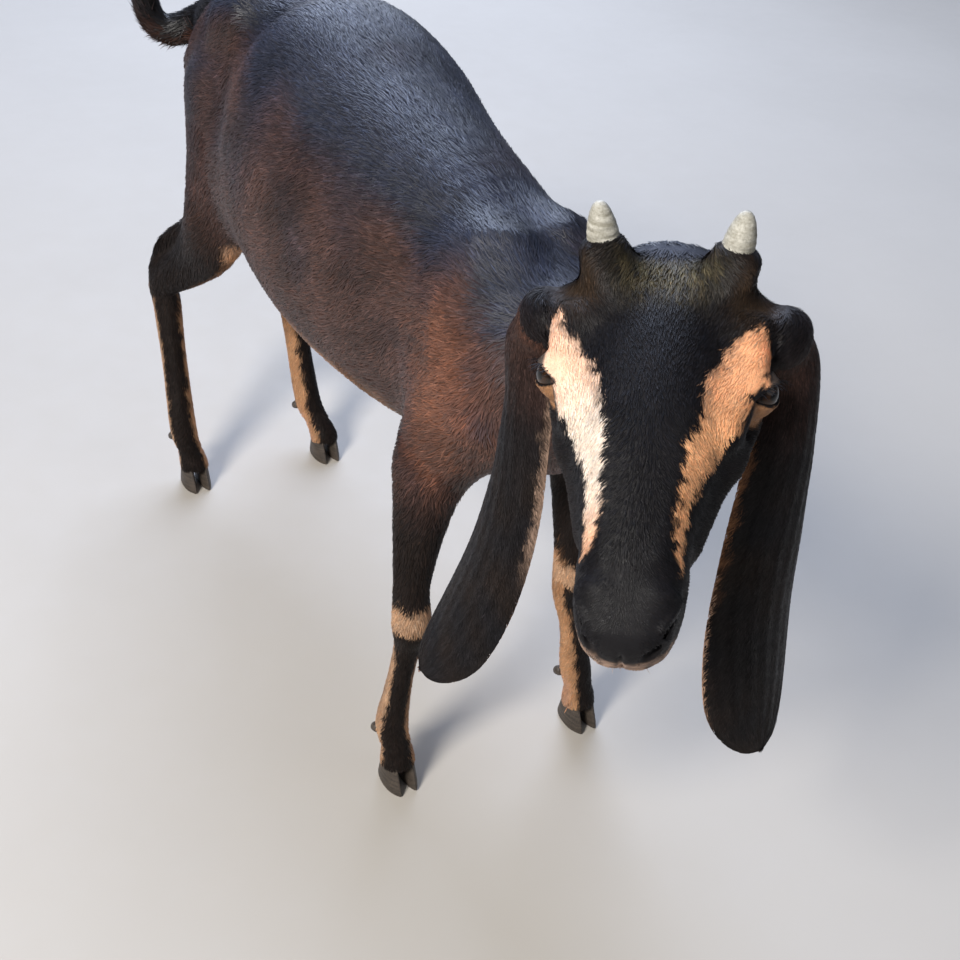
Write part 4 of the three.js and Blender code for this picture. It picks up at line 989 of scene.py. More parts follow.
def head_colour(q):
    colour = np.tile(BLACK, (len(q), 1))
    way, up = -q[:, 1], q[:, 2]
    side = np.where(q[:, 0] > 0, 1, -1)
    half = np.abs(q[:, 0])
    ragged = wobble(q, 9, 1) * 1.4 + wobble(q, 3.2, 2) * 0.7
    # cheeks and throat brown black, a little russet behind the jaw
    colour = paint(colour, SOOT, smooth(-20, -50, up) * 0.9)
    colour = paint(colour, CHOCOLATE, smooth(60, 10, way) * smooth(-8, -34, up) * 0.7)
    # the olive poll between the horns
    poll = np.exp(-((half / 21) ** 4 + ((way + 8) / 34) ** 4)) * smooth(-20, 0, up)
    colour = paint(colour, OLIVE, poll * (0.75 + 0.4 * wobble(q, 7, 3)))
    behind_horns = np.exp(-(((half - 40) / 9) ** 2 + ((way - 24) / 12) ** 2)) * smooth(-22, -8, up)
    colour = paint(colour, mix(OLIVE, TAN, 0.3), behind_horns * 0.2)
    # the tan skin under each eye, and the grey brown upper lid
    h = halved(q)
    eye, opened = eye_sphere(h)
    over = (h - EYE_PLACE) @ above
    ring = smooth(17.5, 15, eye + 0.4 * ragged) * smooth(1, -2, over) * smooth(34, 44, half)
    colour = paint(colour, mix(TAN, GREY_BROWN, 0.3), ring * 0.85)
    upper = smooth(16.5, 14.5, eye) * smooth(-1, 1, over)
    for which, rows in STRIPES.items():
        ways, inner, outer, lowest = np.array(rows).T
        inside, outside, floor = (np.interp(way, ways, edge) for edge in (inner, outer, lowest))
        edge = np.minimum(half - inside, outside - half) + ragged
        edge = np.minimum(edge, np.minimum(way - ways[0], ways[-1] - way) + ragged)
        edge = np.minimum(edge, (up - floor) * 0.8 + ragged)
        weight = smooth(-0.9, 1.1, edge) * (side == which)
        tone, low = (CREAM, shade("e8d8c9")) if which < 0 else (PEACH, shade("e8ae80"))
        lit = mix(tone, low, smooth(60, 95, way)[:, None])
        lit = mix(lit, mix(CREAM, PEACH, 0.6), smooth(118, 150, way)[:, None] * (which < 0))
        lit = lit * (1 + 0.07 * wobble(q, 12, 5))[:, None]
        # dark hairs mixed into its inner edge on the brow
        mixed_in = smooth(6, 0, half - inside + 2 * ragged) * smooth(100, 80, way) * smooth(34, 44, way)
        lit = mix(lit, GREY_BROWN, (0.55 * mixed_in)[:, None])
        colour = mix(colour, lit, weight[:, None])
    # pale hairs along the lower lip, and the bare dark skin between the nostrils
    lip = smooth(-40, -44, up) * smooth(-58, -53, up) * smooth(118, 140, way)
    colour = paint(colour, mix(GREY_BROWN, CREAM, 0.5), lip * (0.55 + 0.5 * wobble(q, 5, 6)))
    edge = smooth(-30.5, -34, up + 0.4 * ragged) * smooth(174, 182, way)
    colour = paint(colour, mix(GREY_BROWN, CREAM, 0.45), edge * (0.6 + 0.5 * wobble(q, 4, 7)))
    colour = paint(colour, mix(SOOT, GREY_BROWN, 0.5), upper * smooth(50, 52, half))
    colour = paint(colour, BLACK * 0.5, smooth(15.5, 14, eye) * smooth(-1.0, -0.4, opened))
    return colour


def leg_colour(p, side, rear):
    x, y = centre_at(LEGS[side, rear], p[:, 2])
    front = np.abs(np.arctan2((p[:, 0] - x) * side, -(p[:, 1] - y)) - 0.45)
    front = np.minimum(front, 2 * math.pi - front)
    ragged = wobble(p, 14, 8) * 0.12 + wobble(p, 5, 9) * 0.07
    colour = np.tile(SOOT, (len(p), 1))
    colour = paint(colour, CHOCOLATE, smooth(240, 330, p[:, 2]) * 0.6)
    # tan at the sides and the back of the lower leg, with a black stripe down the front
    height = p[:, 2]
    stripe = 0.8 + 0.25 * smooth(60, 40, height) + 0.5 * smooth(110, 160, height) * (not rear)
    weight = smooth(stripe - 0.12, stripe + 0.2, front + ragged)
    weight = weight * smooth(190, 168, height + ragged * 60)
    inner = smooth(-4, 6, -(p[:, 0] - x) * side)
    tone = mix(LEG_TAN, TAN, (0.5 * inner)[:, None])
    tone = mix(tone, RUSSET, (0.35 * smooth(150, 190, height) + 0.12 * wobble(p, 30, 10))[:, None])
    colour = paint(colour, tone, weight * 0.95)
    if rear:
        # the pale patch where the thigh leaves the flank, and the tan inside it
        patch = np.linalg.norm((p - [side * 52, 342, 272]) / [12, 14, 20], axis=1)
        colour = paint(colour, mix(TAN, CREAM, 0.4), smooth(1.2, 0.4, patch) * 0.8)
        thigh = smooth(14, 2, (p[:, 0] - x) * side + 8) * smooth(190, 230, height) * smooth(345, 300, height)
        colour = paint(colour, TAN * 0.8, thigh * 0.8)
    else:
        # the band right round each knee
        band = smooth(12, 7, np.abs(height - 166 + 8 * ragged * 2))
        colour = paint(colour, LEG_TAN, band * 0.9)
    pastern = smooth(62, 46, height) * smooth(1.2, 2.0, front)
    return paint(colour, mix(PINK, CREAM, 0.3), pastern * 0.6)


def body_colour(p, normal):
    """The torso and neck: black with a painted blue sheen where the coat faces up, browner down the flank,
    russet on the shoulder.
    """
    # where the coat faces up it is painted with a blue sheen; lower down it turns brown
    low = smooth(0.75, -0.1, normal[:, 2] + 0.25 * wobble(p, 90, 11))
    colour = paint(np.tile(SHEEN_BLUE_BLACK, (len(p), 1)), CHOCOLATE, low * 0.85)
    for side in (1, -1):
        shoulder = np.linalg.norm((p - np.array([side * 62, 6, 345])) / [40, 62, 66], axis=1)
        colour = paint(colour, RUSSET, smooth(1.15, 0.25, shoulder + 0.16 * wobble(p, 40, 12)) * 0.75)
        neck_side = np.linalg.norm((p - np.array([side * 34 - 14, -80, 412])) / [30, 46, 40], axis=1)
        colour = paint(colour, CHOCOLATE, smooth(1.1, 0.4, neck_side) * 0.5)
    belly = smooth(-0.3, -0.6, normal[:, 2]) * smooth(60, 120, p[:, 1]) * smooth(300, 262, p[:, 2])
    colour = paint(colour, TAN * 0.8, belly * 0.75)
    seam = smooth(-0.25, -0.6, normal[:, 2]) * smooth(120, 160, p[:, 1]) * smooth(262, 248, p[:, 2])
    colour = paint(colour, TAN, seam * 0.5)
    rear = smooth(452, 470, p[:, 1]) * smooth(24, 12, np.abs(p[:, 0])) * smooth(415, 395, p[:, 2])
    colour = paint(colour, TAN * 0.8, rear * 0.7)
    return colour * (1 + 0.22 * wobble(p, 46, 13) + 0.12 * wobble(p, 15, 14))[:, None]


LEG_OF = {FL: (1, False), FR: (-1, False), HL: (1, True), HR: (-1, True)}


def coat_colour(p, normal, region):
    colour = np.zeros((len(p), 3))
    for r in np.unique(region):
        mine = region == r
        s, n = p[mine], normal[mine]
        if r == TAIL_R:
            under = smooth(0.1, -0.6, n[:, 2] + 0.2 * wobble(s, 20, 15))
            colour[mine] = paint(np.tile(BLACK, (len(s), 1)), RUSSET, under * 0.3)
            continue
        got = body_colour(s, n)
        if r == HEAD_R:
            q = to_head(s)
            got = mix(head_colour(q), got, smooth(-12, 6, q[:, 1])[:, None])
        elif r in LEG_OF:
            side, rear = LEG_OF[r]
            low, high = (270, 350) if rear else (230, 290)
            got = mix(leg_colour(s, side, rear), got, smooth(low, high, s[:, 2])[:, None])
        colour[mine] = got
    return np.clip(colour, 0.002, 1)


def ear_colour(side, down, across, face, p):
    """Black outside, tan and cream inside; across is 1 at the rim nearer the face."""
    outer = np.tile(BLACK, (len(down), 1))
    outer = paint(outer, CHOCOLATE, smooth(0.35, 0.0, down) * (0.6 + 0.3 * wobble(p, 40, 21)))
    outer = paint(outer, SOOT, smooth(0.1, 0.5, down) * (0.5 + 0.4 * wobble(p, 40, 23)))
    # along the rim nearer the face: a tan stripe on the left ear, and on the right ear a painted highlight
    # in grey brown and cream where the rolled rim's hairs catch the light
    front = smooth(0.8, 0.97, across + 0.06 * wobble(p, 12, 22))
    stripe = front * smooth(0.10, 0.2, down) * (1 - smooth(0.45, 0.65, down))
    outer = paint(outer, mix(TAN, RUSSET, 0.6) if side > 0 else mix(GREY_BROWN, CREAM, 0.25), stripe * 0.75)
    # the inner side's cream shows along the rims
    rear = smooth(-0.84, -0.92, across) * smooth(0.28, 0.36, down) * (1 - smooth(0.6, 0.75, down))
    edge = smooth(0.93, 0.98, across) * smooth(0.5, 0.6, down) * (1 - smooth(0.8, 0.9, down)) * (side > 0)
    outer = paint(outer, mix(TAN, CREAM, 0.7), np.maximum(rear, 0.7 * edge))
    inner = np.tile(mix(TAN, CREAM, 0.35), (len(down), 1))
    inner = paint(inner, CHOCOLATE, smooth(0.62, 0.95, down) * 0.75)
    inner = paint(inner, BLACK, smooth(0.88, 0.95, down))
    inner = paint(inner, PINK, smooth(0.5, 0.1, np.abs(across)) * 0.5)
    return np.where(face[:, None] > 0.5, outer, inner)


# The coat's lie
def lie_of_head(q):
    """Down the nose from a whorl at the poll, back along the jaw and down the cheeks."""
    down_nose, side, half, up = -q[:, 1], np.sign(q[:, 0]), np.abs(q[:, 0]), q[:, 2]
    none, one = 0 * half, np.ones(len(q))
    whorl = np.stack([0.5 * q[:, 0] / 20, np.where(q[:, 1] > 6, 1.0, -1.0), none], 1)
    forehead = np.stack([-0.3 * side * (smooth(0, 20, half) + smooth(18, 36, half)), -one, none], 1)
    bridge = np.stack([0.8 * side * smooth(1, 12, half), -0.75 * one, -0.55 * smooth(4, 16, half)], 1)
    flow = mix(whorl, forehead, smooth(14, 34, down_nose)[:, None])
    flow = mix(flow, bridge, smooth(72, 104, down_nose)[:, None])
    cheek = np.array([0, 0.55, -0.8])
    muzzle = np.stack([0.2 * side, 0.25 * one, -one], 1)
    low = mix(cheek, muzzle, smooth(105, 135, down_nose)[:, None])
    low = mix(low, np.array([0, 1, -0.15]), smooth(-60, -76, up)[:, None])
    return mix(low, flow, smooth(-34, -8, up)[:, None])


def lie_of(p, normal, region):
    """Which way the hairs lie, along the skin."""
    x, y, z = p.T
    way = np.stack([0 * x, np.ones(len(p)), -0.75 * smooth(0.9, 0.1, normal[:, 2])], 1)
    thigh = 0.6 * smooth(420, 330, z) * ((region == HL) | (region == HR))
    back_along_neck = unit(np.array([0.22, 0.85, -0.52])) + np.array([0, 0, -0.25])
    for toward, share in (
        ([0, -0.15, -1], smooth(-10, -60, y) * smooth(430, 380, z)),
        ([0, 0.5, -1], smooth(430, 470, y)),
        ([0, 0.25, -1], np.maximum(smooth(300, 240, z) * (region >= FL), thigh)),
        (back_along_neck, smooth(-20, -80, y) * (region == NECK_R)),
    ):
        way = mix(way, np.array(toward), share[:, None])
    in_tail, in_head = region == TAIL_R, region == HEAD_R
    way[in_tail] = TAIL_WAY[nearest_of_tail(p[in_tail])]
    way[in_head] = lie_of_head(to_head(p)[in_head]) @ HEAD_AXES.T
    swirl = np.stack([wobble(p, 70, 31), wobble(p, 70, 32), wobble(p, 70, 33)], 1)
    way = unit(way) + 0.22 * swirl
    way -= normal * (way * normal).sum(1, keepdims=True)
    return unit(way)


# Tufts
class Pieces:
    """Points, faces and all that goes with them, gathered into one Blender mesh."""

    def __init__(self):
        self.stores = ([], [], [], [], [])
        self.count = 0

    def add(self, points, faces, colours, normals, maps):
        for store, value in zip(self.stores, (points, faces + self.count, colours, normals, maps)):
            store.append(value)
        self.count += len(points)

    def made(self, name):
        points, faces, colours, normals, maps = (np.concatenate(store) for store in self.stores)
        return mesh_object(name, points, faces, colours, normals, maps[faces.ravel()])


def linked(name, data):
    thing = bpy.data.objects.new(name, data)
    bpy.context.scene.collection.objects.link(thing)
    return thing


def mesh_object(name, points, triangles, colours=None, normals=None, corner_maps=None):
    mesh = bpy.data.meshes.new(name)
    mesh.vertices.add(len(points))
    mesh.vertices.foreach_set("co", to_part(points).astype(np.float32).ravel())
    mesh.loops.add(triangles.size)
    mesh.loops.foreach_set("vertex_index", triangles.astype(np.int32).ravel())
    mesh.polygons.add(len(triangles))
    mesh.polygons.foreach_set("loop_start", np.arange(0, triangles.size, 3, dtype=np.int32))
    mesh.update(calc_edges=True)
    mesh.polygons.foreach_set("use_smooth", np.ones(len(triangles), bool))
    if colours is not None:
        layer = mesh.color_attributes.new("Coat", "FLOAT_COLOR", "POINT")
        with_alpha = np.concatenate([colours, np.ones((len(colours), 1))], 1)
        layer.data.foreach_set("color", with_alpha.astype(np.float32).ravel())
    if corner_maps is not None:
        layer = mesh.uv_layers.new(name="OFBake")
        layer.uv.foreach_set("vector", corner_maps.astype(np.float32).ravel())
    if normals is not None:
        mesh.normals_split_custom_set_from_vertices(normals)
    return linked(name, mesh)


ROWS, ROW_BREADTHS = np.array([0.0, 0.4, 0.75, 1.0]), np.array([0.75, 1.0, 0.7, 0.0])
STRIP = np.array([[0, 1, 3], [0, 3, 2], [2, 3, 5], [2, 5, 4], [4, 5, 6]])
STRIP_POINTS = [2, 2, 2, 1]
STRIP_SIDES = np.array([-1, 1, -1, 1, -1, 1, 0])
# a painted shading along each strip: darker at its root, lighter at its tip
STRIP_PAINTED_SHADING = np.array([0.72, 0.72, 0.95, 0.95, 1.08, 1.08, 1.16])
PATCH = 0.003


def strips(piece, centres, ways, normals, widths, slopes, colours, places):
    """Tapered strips through rows of centres (n, 4, 3), with a patch of the map for each."""
    sides = unit(np.cross(ways, normals))
    half = widths[:, None] * ROW_BREADTHS / 2
    left = centres - sides[:, None] * half[..., None]
    right = centres + sides[:, None] * half[..., None]
    pairs = np.stack([left[:, :3], right[:, :3]], 2).reshape(-1, 6, 3)
    points = np.concatenate([pairs, centres[:, 3:]], 1)
    lean = normals - ways * slopes[:, None]
    facing = unit(lean[:, None] + sides[:, None] * (STRIP_SIDES * 0.3)[:, None])
    # each strip's colour with the painted shading, darker at the root and lighter at the tip
    shades = np.clip(colours[:, None] * STRIP_PAINTED_SHADING[:, None], 0, 1)
    u = np.repeat(half, STRIP_POINTS, 1) * STRIP_SIDES / widths[:, None] * PATCH
    v = np.repeat(ROWS, STRIP_POINTS) * PATCH - PATCH / 2
    maps = places[:, None] + np.stack([u, np.broadcast_to(v, u.shape)], -1)
    faces = (np.arange(len(centres)) * 7)[:, None, None] + STRIP
    piece.add(*(values.reshape(-1, values.shape[-1]) for values in (points, faces, shades, facing, maps)))


def roots_on(points, triangles, normals, density):
    corners = points[triangles]
    area = np.linalg.norm(np.cross(corners[:, 1] - corners[:, 0], corners[:, 2] - corners[:, 0]), axis=1) / 2
    many = np.floor(area * density + rng.random(len(area))).astype(int)
    face = np.repeat(np.arange(len(area)), many)
    a, b = rng.random((2, len(face)))
    over = a + b > 1
    a, b = np.where(over, 1 - a, a), np.where(over, 1 - b, b)
    share = np.stack([1 - a - b, a, b], 1)[..., None]
    return (corners[face] * share).sum(1), unit((normals[triangles[face]] * share).sum(1))


# Length, width and height of the tips of the tufts in mm, and number for each square mm; where
# a place has None, it keeps what is round it
COAT = {
    "body": (11.0, 1.0, 1.2, 0.272), "legs": (6.5, 0.7, 0.8, 0.6), "head": (4.8, 0.5, 0.75, 1.1),
    "nose": (3.8, 0.42, None, 1.25), "muzzle": (2.4, 0.36, 0.3, 1.3), "poll": (8, None, 1.4, None),
    "lids": (1.8, 0.34, 0.2, None), "tail": (22, 1.1, 5.0, 1.7),
}


def coat_style(p, region):
    """Length, width, height of the tips and number of tufts at each point, as in COAT."""
    q = to_head(p)
    h = halved(q)
    way, half = -q[:, 1], h[:, 0]
    in_head = region == HEAD_R
    head = in_head * smooth(-14, 10, way)
    eye, inside = eye_sphere(h)
    shares = {
        "legs": smooth(250, 160, p[:, 2]) * (region >= FL), "head": head,
        "nose": head * smooth(60, 110, way), "muzzle": head * smooth(146, 168, way),
        "poll": head * np.exp(-((half / 20) ** 2 + ((way - 4) / 20) ** 2)) * (q[:, 2] > -20),
        "lids": in_head * smooth(18.5, 15.5, eye),
    }
    style = [np.full(len(p), value) for value in COAT["body"]]
    for place, share in shares.items():
        style = [old if new is None else mix(old, new, share) for old, new in zip(style, COAT[place])]
    for value, in_the_tail in zip(style, COAT["tail"]):
        value[region == TAIL_R] = in_the_tail
    # nothing grows over the eye's edge, inside the nostrils, on the bare nose or on the claws
    number = style[3]
    bare = in_head & (eye < 14.6) & ((inside > -1.0) | (eye < 12.6))
    number *= 1 - in_head * smooth(178, 186, way) * smooth(10, 6, half) * (q[:, 2] > -40)
    in_nostril = in_head & (way > 160) & (nostril(h.astype(np.float32), 12) < 1.4)
    number[bare | in_nostril] = 0
    number[(p[:, 2] < 30) & (above_claws(p.astype(np.float32)) > -1.5)] = 0
    return style


# How deep a tuft is rooted in the skin and in an ear, and the most that it is bent to the skin
ROOT_DEPTH, EAR_ROOT_DEPTH, MOST_LIFT = 0.35, 0.2, 7


def varied(colour, faint, strong):
    """Each tuft a little lighter or darker, the dark ones most."""
    dark = 1 - smooth(0.05, 0.3, colour.mean(1))
    return colour * np.exp(rng.normal(0, 1, len(colour)) * mix(faint, strong, dark))[:, None]


def comb(points, normals, region, pieces):
    """Tufts on the skin, laid along it at their own height."""
    length, width, height, _ = coat_style(points, region)
    n = len(points)
    length = length * rng.uniform(0.7, 1.25, n)
    width = width * rng.uniform(0.75, 1.3, n)
    height = height * rng.uniform(0.35, 1.15, n)
    way = lie_of(points, normals, region)
    side = np.cross(way, normals)
    way = unit(way + side * rng.normal(0, 0.16, n)[:, None])
    side = np.cross(way, normals)
    bow = rng.normal(0, 0.10, n) * length
    centres = (points[:, None] + way[:, None] * (length[:, None] * ROWS)[..., None]
               + side[:, None] * (bow[:, None] * ROWS ** 2)[..., None])
    rise = height[:, None] * ROWS ** 0.85
    rise[:, 0] = -ROOT_DEPTH
    flat = centres.reshape(-1, 3).astype(np.float32)
    found = in_chunks(lambda p: skin_field(p, 8.0), flat).reshape(n, 4)
    lift = np.clip(rise - (found - found[:, :1]), -MOST_LIFT, MOST_LIFT)
    centres += normals[:, None] * lift[..., None]
    colour = varied(coat_colour(points, normals, region), 0.1, 0.24)
    warm = rng.normal(0, 0.05, n)
    colour = colour * np.stack([1 + warm, np.ones(n), 1 - warm], 1)
    place = on_island(unwrapped(points, region), region)
    for piece, mine in pieces(region, points):
        strips(piece, centres[mine], way[mine], normals[mine], width[mine],
               (height / length)[mine], colour[mine], place[mine])


def fine_hairs(roots, normals, region, outward, droop, lengths, width, tone, pieces):
    """Single hairs that stand off the head and bend over, such as lashes and whiskers."""
    n = len(roots)
    side = np.where(to_head(roots)[:, 0] > 0, 1.0, -1.0)[:, None] * [1, 0, 0] + [0, 1, 1]
    outward, droop = (unit(v * side) @ HEAD_AXES.T for v in (outward, droop))
    lengths = rng.uniform(*lengths, n)[:, None, None]
    rise, run = np.array([-0.05, 0.35, 0.6, 0.72]), np.array([0, 0.12, 0.36, 0.64])
    centres = roots[:, None] + lengths * (outward[:, None] * rise[:, None] + droop[:, None] * run[:, None])
    along = unit(centres[:, 3] - centres[:, 0])
    facing = unit(normals - along * (normals * along).sum(1, keepdims=True))
    place = on_island(unwrapped(roots, region), region)
    for piece, mine in pieces(region, roots):
        strips(piece, centres[mine], along[mine], facing[mine], np.full(len(mine), width),
               np.zeros(len(mine)), np.tile(tone, (len(mine), 1)), place[mine])


LASHES, WHISKERS = 130, 240


def lashes_and_whiskers(points, normals, region, pieces):
    """The dark lashes of the upper lids, and the pale hairs round the mouth."""
    q = to_head(points)
    h = halved(q)
    way, up, own = -q[:, 1], q[:, 2], h - EYE_PLACE
    far, inside = eye_sphere(h)
    head = region == HEAD_R
    lid = np.flatnonzero(head & (far < 14.8) & (inside > -2.2) & (own @ above > 1.5))
    lid = rng.choice(lid, min(LASHES, len(lid)), replace=False)
    fan = np.tile(look * 0.9 + above * 0.35, (len(lid), 1)) + rng.normal(0, 0.12, (len(lid), 3))
    fan += (own[lid] @ ahead)[:, None] * 0.035 * ahead
    droop = np.tile(look * 0.5 - above * 0.9, (len(lid), 1))
    fine_hairs(points[lid], normals[lid], region[lid], fan, droop, (4.5, 7.5), 0.3, BLACK * 0.7, pieces)
    lips = np.flatnonzero(head & (way > 140) & (up < -44) & (up > -60))
    lips = rng.choice(lips, min(WHISKERS, len(lips)), replace=False)
    outward = normals[lips] @ HEAD_AXES
    outward[:, 0] *= np.sign(q[lips, 0])
    droop = np.tile([0.3, 0.2, -1.0], (len(lips), 1)) + rng.normal(0, 0.3, (len(lips), 3))
    fine_hairs(points[lips], normals[lips], region[lips], outward, droop, (2.0, 5.0), 0.18,
               mix(GREY_BROWN, CREAM, 0.6), pieces)


def comb_ear(ear, piece, face, number, length, width):
    """Tufts down one face of an ear, by its own way down and across."""
    total = np.linalg.norm(np.diff(ear.line, axis=0), axis=1).sum()
    down = rng.random(number * 2)
    broad = ear.sized(down, 1) * tip_share(down)
    down = down[rng.random(len(down)) < broad / EAR_BROADEST][:number]
    down = down[down > (0.01 if face else 0.12)]
    n = len(down)
    across = rng.uniform(-0.995, 0.995, n)
    length = length * rng.uniform(0.7, 1.25, n)
    drift = across * 0.10 * rng.uniform(0.3, 1.6, n) + rng.normal(0, 0.03, n)
    step = 0.004
    inwards = np.where(across > 0, -1, 1)
    here = ear.place(down, across, face)
    along = ear.place(np.minimum(down + step, 1), across, face) - here
    over = (ear.place(down, across + inwards * step, face) - here) * inwards[:, None]
    normal = unit(np.cross(over, along)) * ear.side * (1 if face else -1)
    height = 0.4 * rng.uniform(0.3, 1.1, n)
    centres = []
    for t in ROWS:
        reached = down + length * t / total
        spot = ear.place(np.minimum(reached, EAR_END), np.clip(across + drift * t, -1.02, 1.02), face)
        if face:
            spot = spot + normal * filleted(spot)[:, None]
        past = np.maximum(reached - EAR_END, 0) * total
        spot = spot + unit(along) * np.minimum(past, 3)[:, None]
        centres.append(spot + normal * (height * t ** 0.85 if t else -EAR_ROOT_DEPTH + 0 * height)[:, None])
    centres = np.stack(centres, 1)
    way = unit(centres[:, 3] - centres[:, 0])
    colour = varied(ear_colour(ear.side, down, across * ear.front(), np.full(n, face), here), 0.12, 0.3)
    place = on_island(np.stack([across / 2 + 0.5, down], 1), np.full(n, EAR_R[(ear.side, face)]))
    strips(piece, centres, way, normal, width * rng.uniform(0.75, 1.3, n), height / length, colour, place)


# Materials
class Shader:
    """A node tree with the few kinds of node that the finishes need."""

    def __init__(self, name):
        self.material = bpy.data.materials.new(name)
        self.material.use_nodes = True
        self.tree = self.material.node_tree
        self.tree.nodes.clear()
        self.surface = self.tree.nodes.new("ShaderNodeBsdfPrincipled")
        output = self.tree.nodes.new("ShaderNodeOutputMaterial")
        self.feed(output.inputs["Surface"], self.surface.outputs["BSDF"])
        self.where = self.made("TexCoord", "Object", {})

    def feed(self, socket, value):
        """Another node's output, a number, a vector or a colour into a socket."""
        if hasattr(value, "links"):
            self.tree.links.new(value, socket)
        elif socket.type == "RGBA":
            socket.default_value = (*[float(v) for v in value[:3]], 1)
        else:
            socket.default_value = value

    def made(self, kind, output, inputs, **settings):
        node = self.tree.nodes.new("ShaderNode" + kind)
        for key, value in settings.items():
            setattr(node, key, value)
        for key, value in inputs.items():
            self.feed(node.inputs[key], value)
        return node.outputs[output]

    def noise(self, scale, detail=4.0, vector=None):
        return self.made("TexNoise", "Fac", {"Scale": scale, "Detail": detail, "Roughness": 0.6,
                                             "Vector": vector or self.where})

    def stretched(self, *scale):
        return self.made("Mapping", "Vector", {"Vector": self.where, "Scale": scale})

    def ranged(self, value, low, high, to_low, to_high):
        return self.made("MapRange", "Result", {"Value": value, "From Min": low, "From Max": high,
                                                "To Min": to_low, "To Max": to_high})

    def maths(self, operation, *values):
        return self.made("Math", 0, dict(enumerate(values)), operation=operation)

    def vector(self, *values):
        return self.made("CombineXYZ", 0, dict(enumerate(values)))

    def mixed(self, factor, a, b, kind="MIX"):
        return self.made("Mix", 2, {0: factor, 6: a, 7: b}, data_type="RGBA", blend_type=kind)

    def bump(self, value, strength, distance):
        self.set(Normal=self.made("Bump", "Normal", {"Height": value, "Strength": strength,
                                                     "Distance": distance}))

    def set(self, **values):
        for name, value in values.items():
            self.feed(self.surface.inputs[name.replace("_", " ")], value)


def coat_material(name, gloss):
    """Hair or skin that carries the markings, with fine streaks and uneven gloss."""
    s = Shader(name)
    marks = s.made("Attribute", "Color", {}, attribute_name="Coat")
    patches = s.ranged(s.noise(60, 3), 0.3, 0.7, 0.82, 1.15)
    grain = s.ranged(s.noise(900 if gloss else 1400, 2), 0.25, 0.75, 0.8, 1.18)
    tone = s.maths("MULTIPLY", patches, grain)
    rough = s.noise(240 if gloss else 300, 3)
    s.set(Base_Color=s.mixed(1.0, marks, s.vector(tone, tone, tone), "MULTIPLY"),
          Roughness=s.ranged(rough, 0.3, 0.7, 0.34, 0.56) if gloss else s.ranged(rough, 0.3, 0.7, 0.5, 0.75),
          Specular_IOR_Level=gloss or 0.16, Sheen_Weight=0.04 if gloss > 0.2 else 0.02,
          Sheen_Roughness=0.35, Sheen_Tint=(0.62, 0.72, 1.0))
    s.bump(s.noise(1500, 3), 0.35, 0.0004)
    return s.material


def keratin_material(name, rings, fine, tones, worn, rough, specular, relief):
    """Horn or claw: rings of growth, worn and scratched. rings and fine are a scale and a stretch."""
    s = Shader(name)
    dark, pale, dusty = map(shade, tones)
    rings, fine = (s.noise(scale, 4, stretch and s.stretched(*stretch)) for scale, stretch in (rings, fine))
    base = s.mixed(s.ranged(rings, 0.35, 0.65, 0, 1), dark, pale)
    s.set(Base_Color=s.mixed(s.ranged(fine, *worn), base, dusty),
          Roughness=s.ranged(fine, 0.3, 0.7, *rough), Specular_IOR_Level=specular)
    s.bump(s.maths("ADD", rings, s.maths("MULTIPLY", fine, relief[0])), relief[1], 0.0006)
    return s.material


# Half the pupil's size, in metres
PUPIL_WIDE, PUPIL_TALL = 0.0046, 0.0019


def eye_material():
    """A dark amber iris, darkened further as a painted shade, with a level slit of a pupil, under a clear
    wet coat.
    """
    s = Shader("eye_wet")
    x, y = (s.made("SeparateXYZ", axis, {0: s.where}) for axis in "XY")
    wide, tall = (s.maths("POWER", s.maths("ABSOLUTE", s.maths("DIVIDE", along, size)), 4.0)
                  for along, size in ((x, PUPIL_WIDE), (y, PUPIL_TALL)))
    pupil = s.ranged(s.maths("ADD", wide, tall), 0.7, 1.5, 0, 1)
    out = s.maths("SQRT", s.maths("ADD", s.maths("MULTIPLY", x, x), s.maths("MULTIPLY", y, y)))
    ray = s.vector(s.maths("MULTIPLY", s.maths("ARCTAN2", y, x), 3.0), s.maths("MULTIPLY", out, 60.0))
    fibres = s.ranged(s.noise(6, 4, ray), 0.3, 0.7, 0, 1)
    # the iris's own amber brown, darkened almost to black as a painted shade
    iris = s.mixed(fibres, shade("150d08"), shade("3a2413"))
    iris = s.mixed(s.ranged(out, 0.0062, 0.0084, 0, 1), iris, shade("140d09"))
    white = s.mixed(s.ranged(s.noise(400, 3), 0.3, 0.7, 0, 1), shade("2a1c16"), shade("4a352c"))
    base = s.mixed(s.ranged(out, 0.0084, 0.0092, 0, 1), iris, white)
    s.set(Base_Color=s.mixed(pupil, shade("020203"), base), Roughness=s.ranged(fibres, 0, 1, 0.12, 0.3),
          Coat_Weight=0.5, Coat_Roughness=0.02, Specular_IOR_Level=0.15)
    return s.material


# Small parts
def loft(rings):
    rings = np.asarray(rings)
    rows, around = rings.shape[:2]
    i, j = np.meshgrid(np.arange(rows - 1), np.arange(around), indexing="ij")
    a, b = (i * around + j).ravel(), (i * around + (j + 1) % around).ravel()
    quads = np.stack([a, b, b + around, a + around], 1)
    points = np.concatenate([rings.reshape(-1, 3), rings[:1].mean(1), rings[-1:].mean(1)])
    j = np.arange(around)
    first, last = rows * around, (rows - 1) * around
    fans = np.concatenate([np.stack([np.full(around, first), (j + 1) % around, j], 1),
                           np.stack([last + j, last + (j + 1) % around, np.full(around, first + 1)], 1)])
    triangles = np.concatenate([quads[:, [0, 1, 2]], quads[:, [0, 2, 3]], fans])
    a, b, c = (points[triangles[:, k]] for k in range(3))
    if (a * np.cross(b, c)).sum() < 0:
        triangles = triangles[:, ::-1]
    return points, triangles


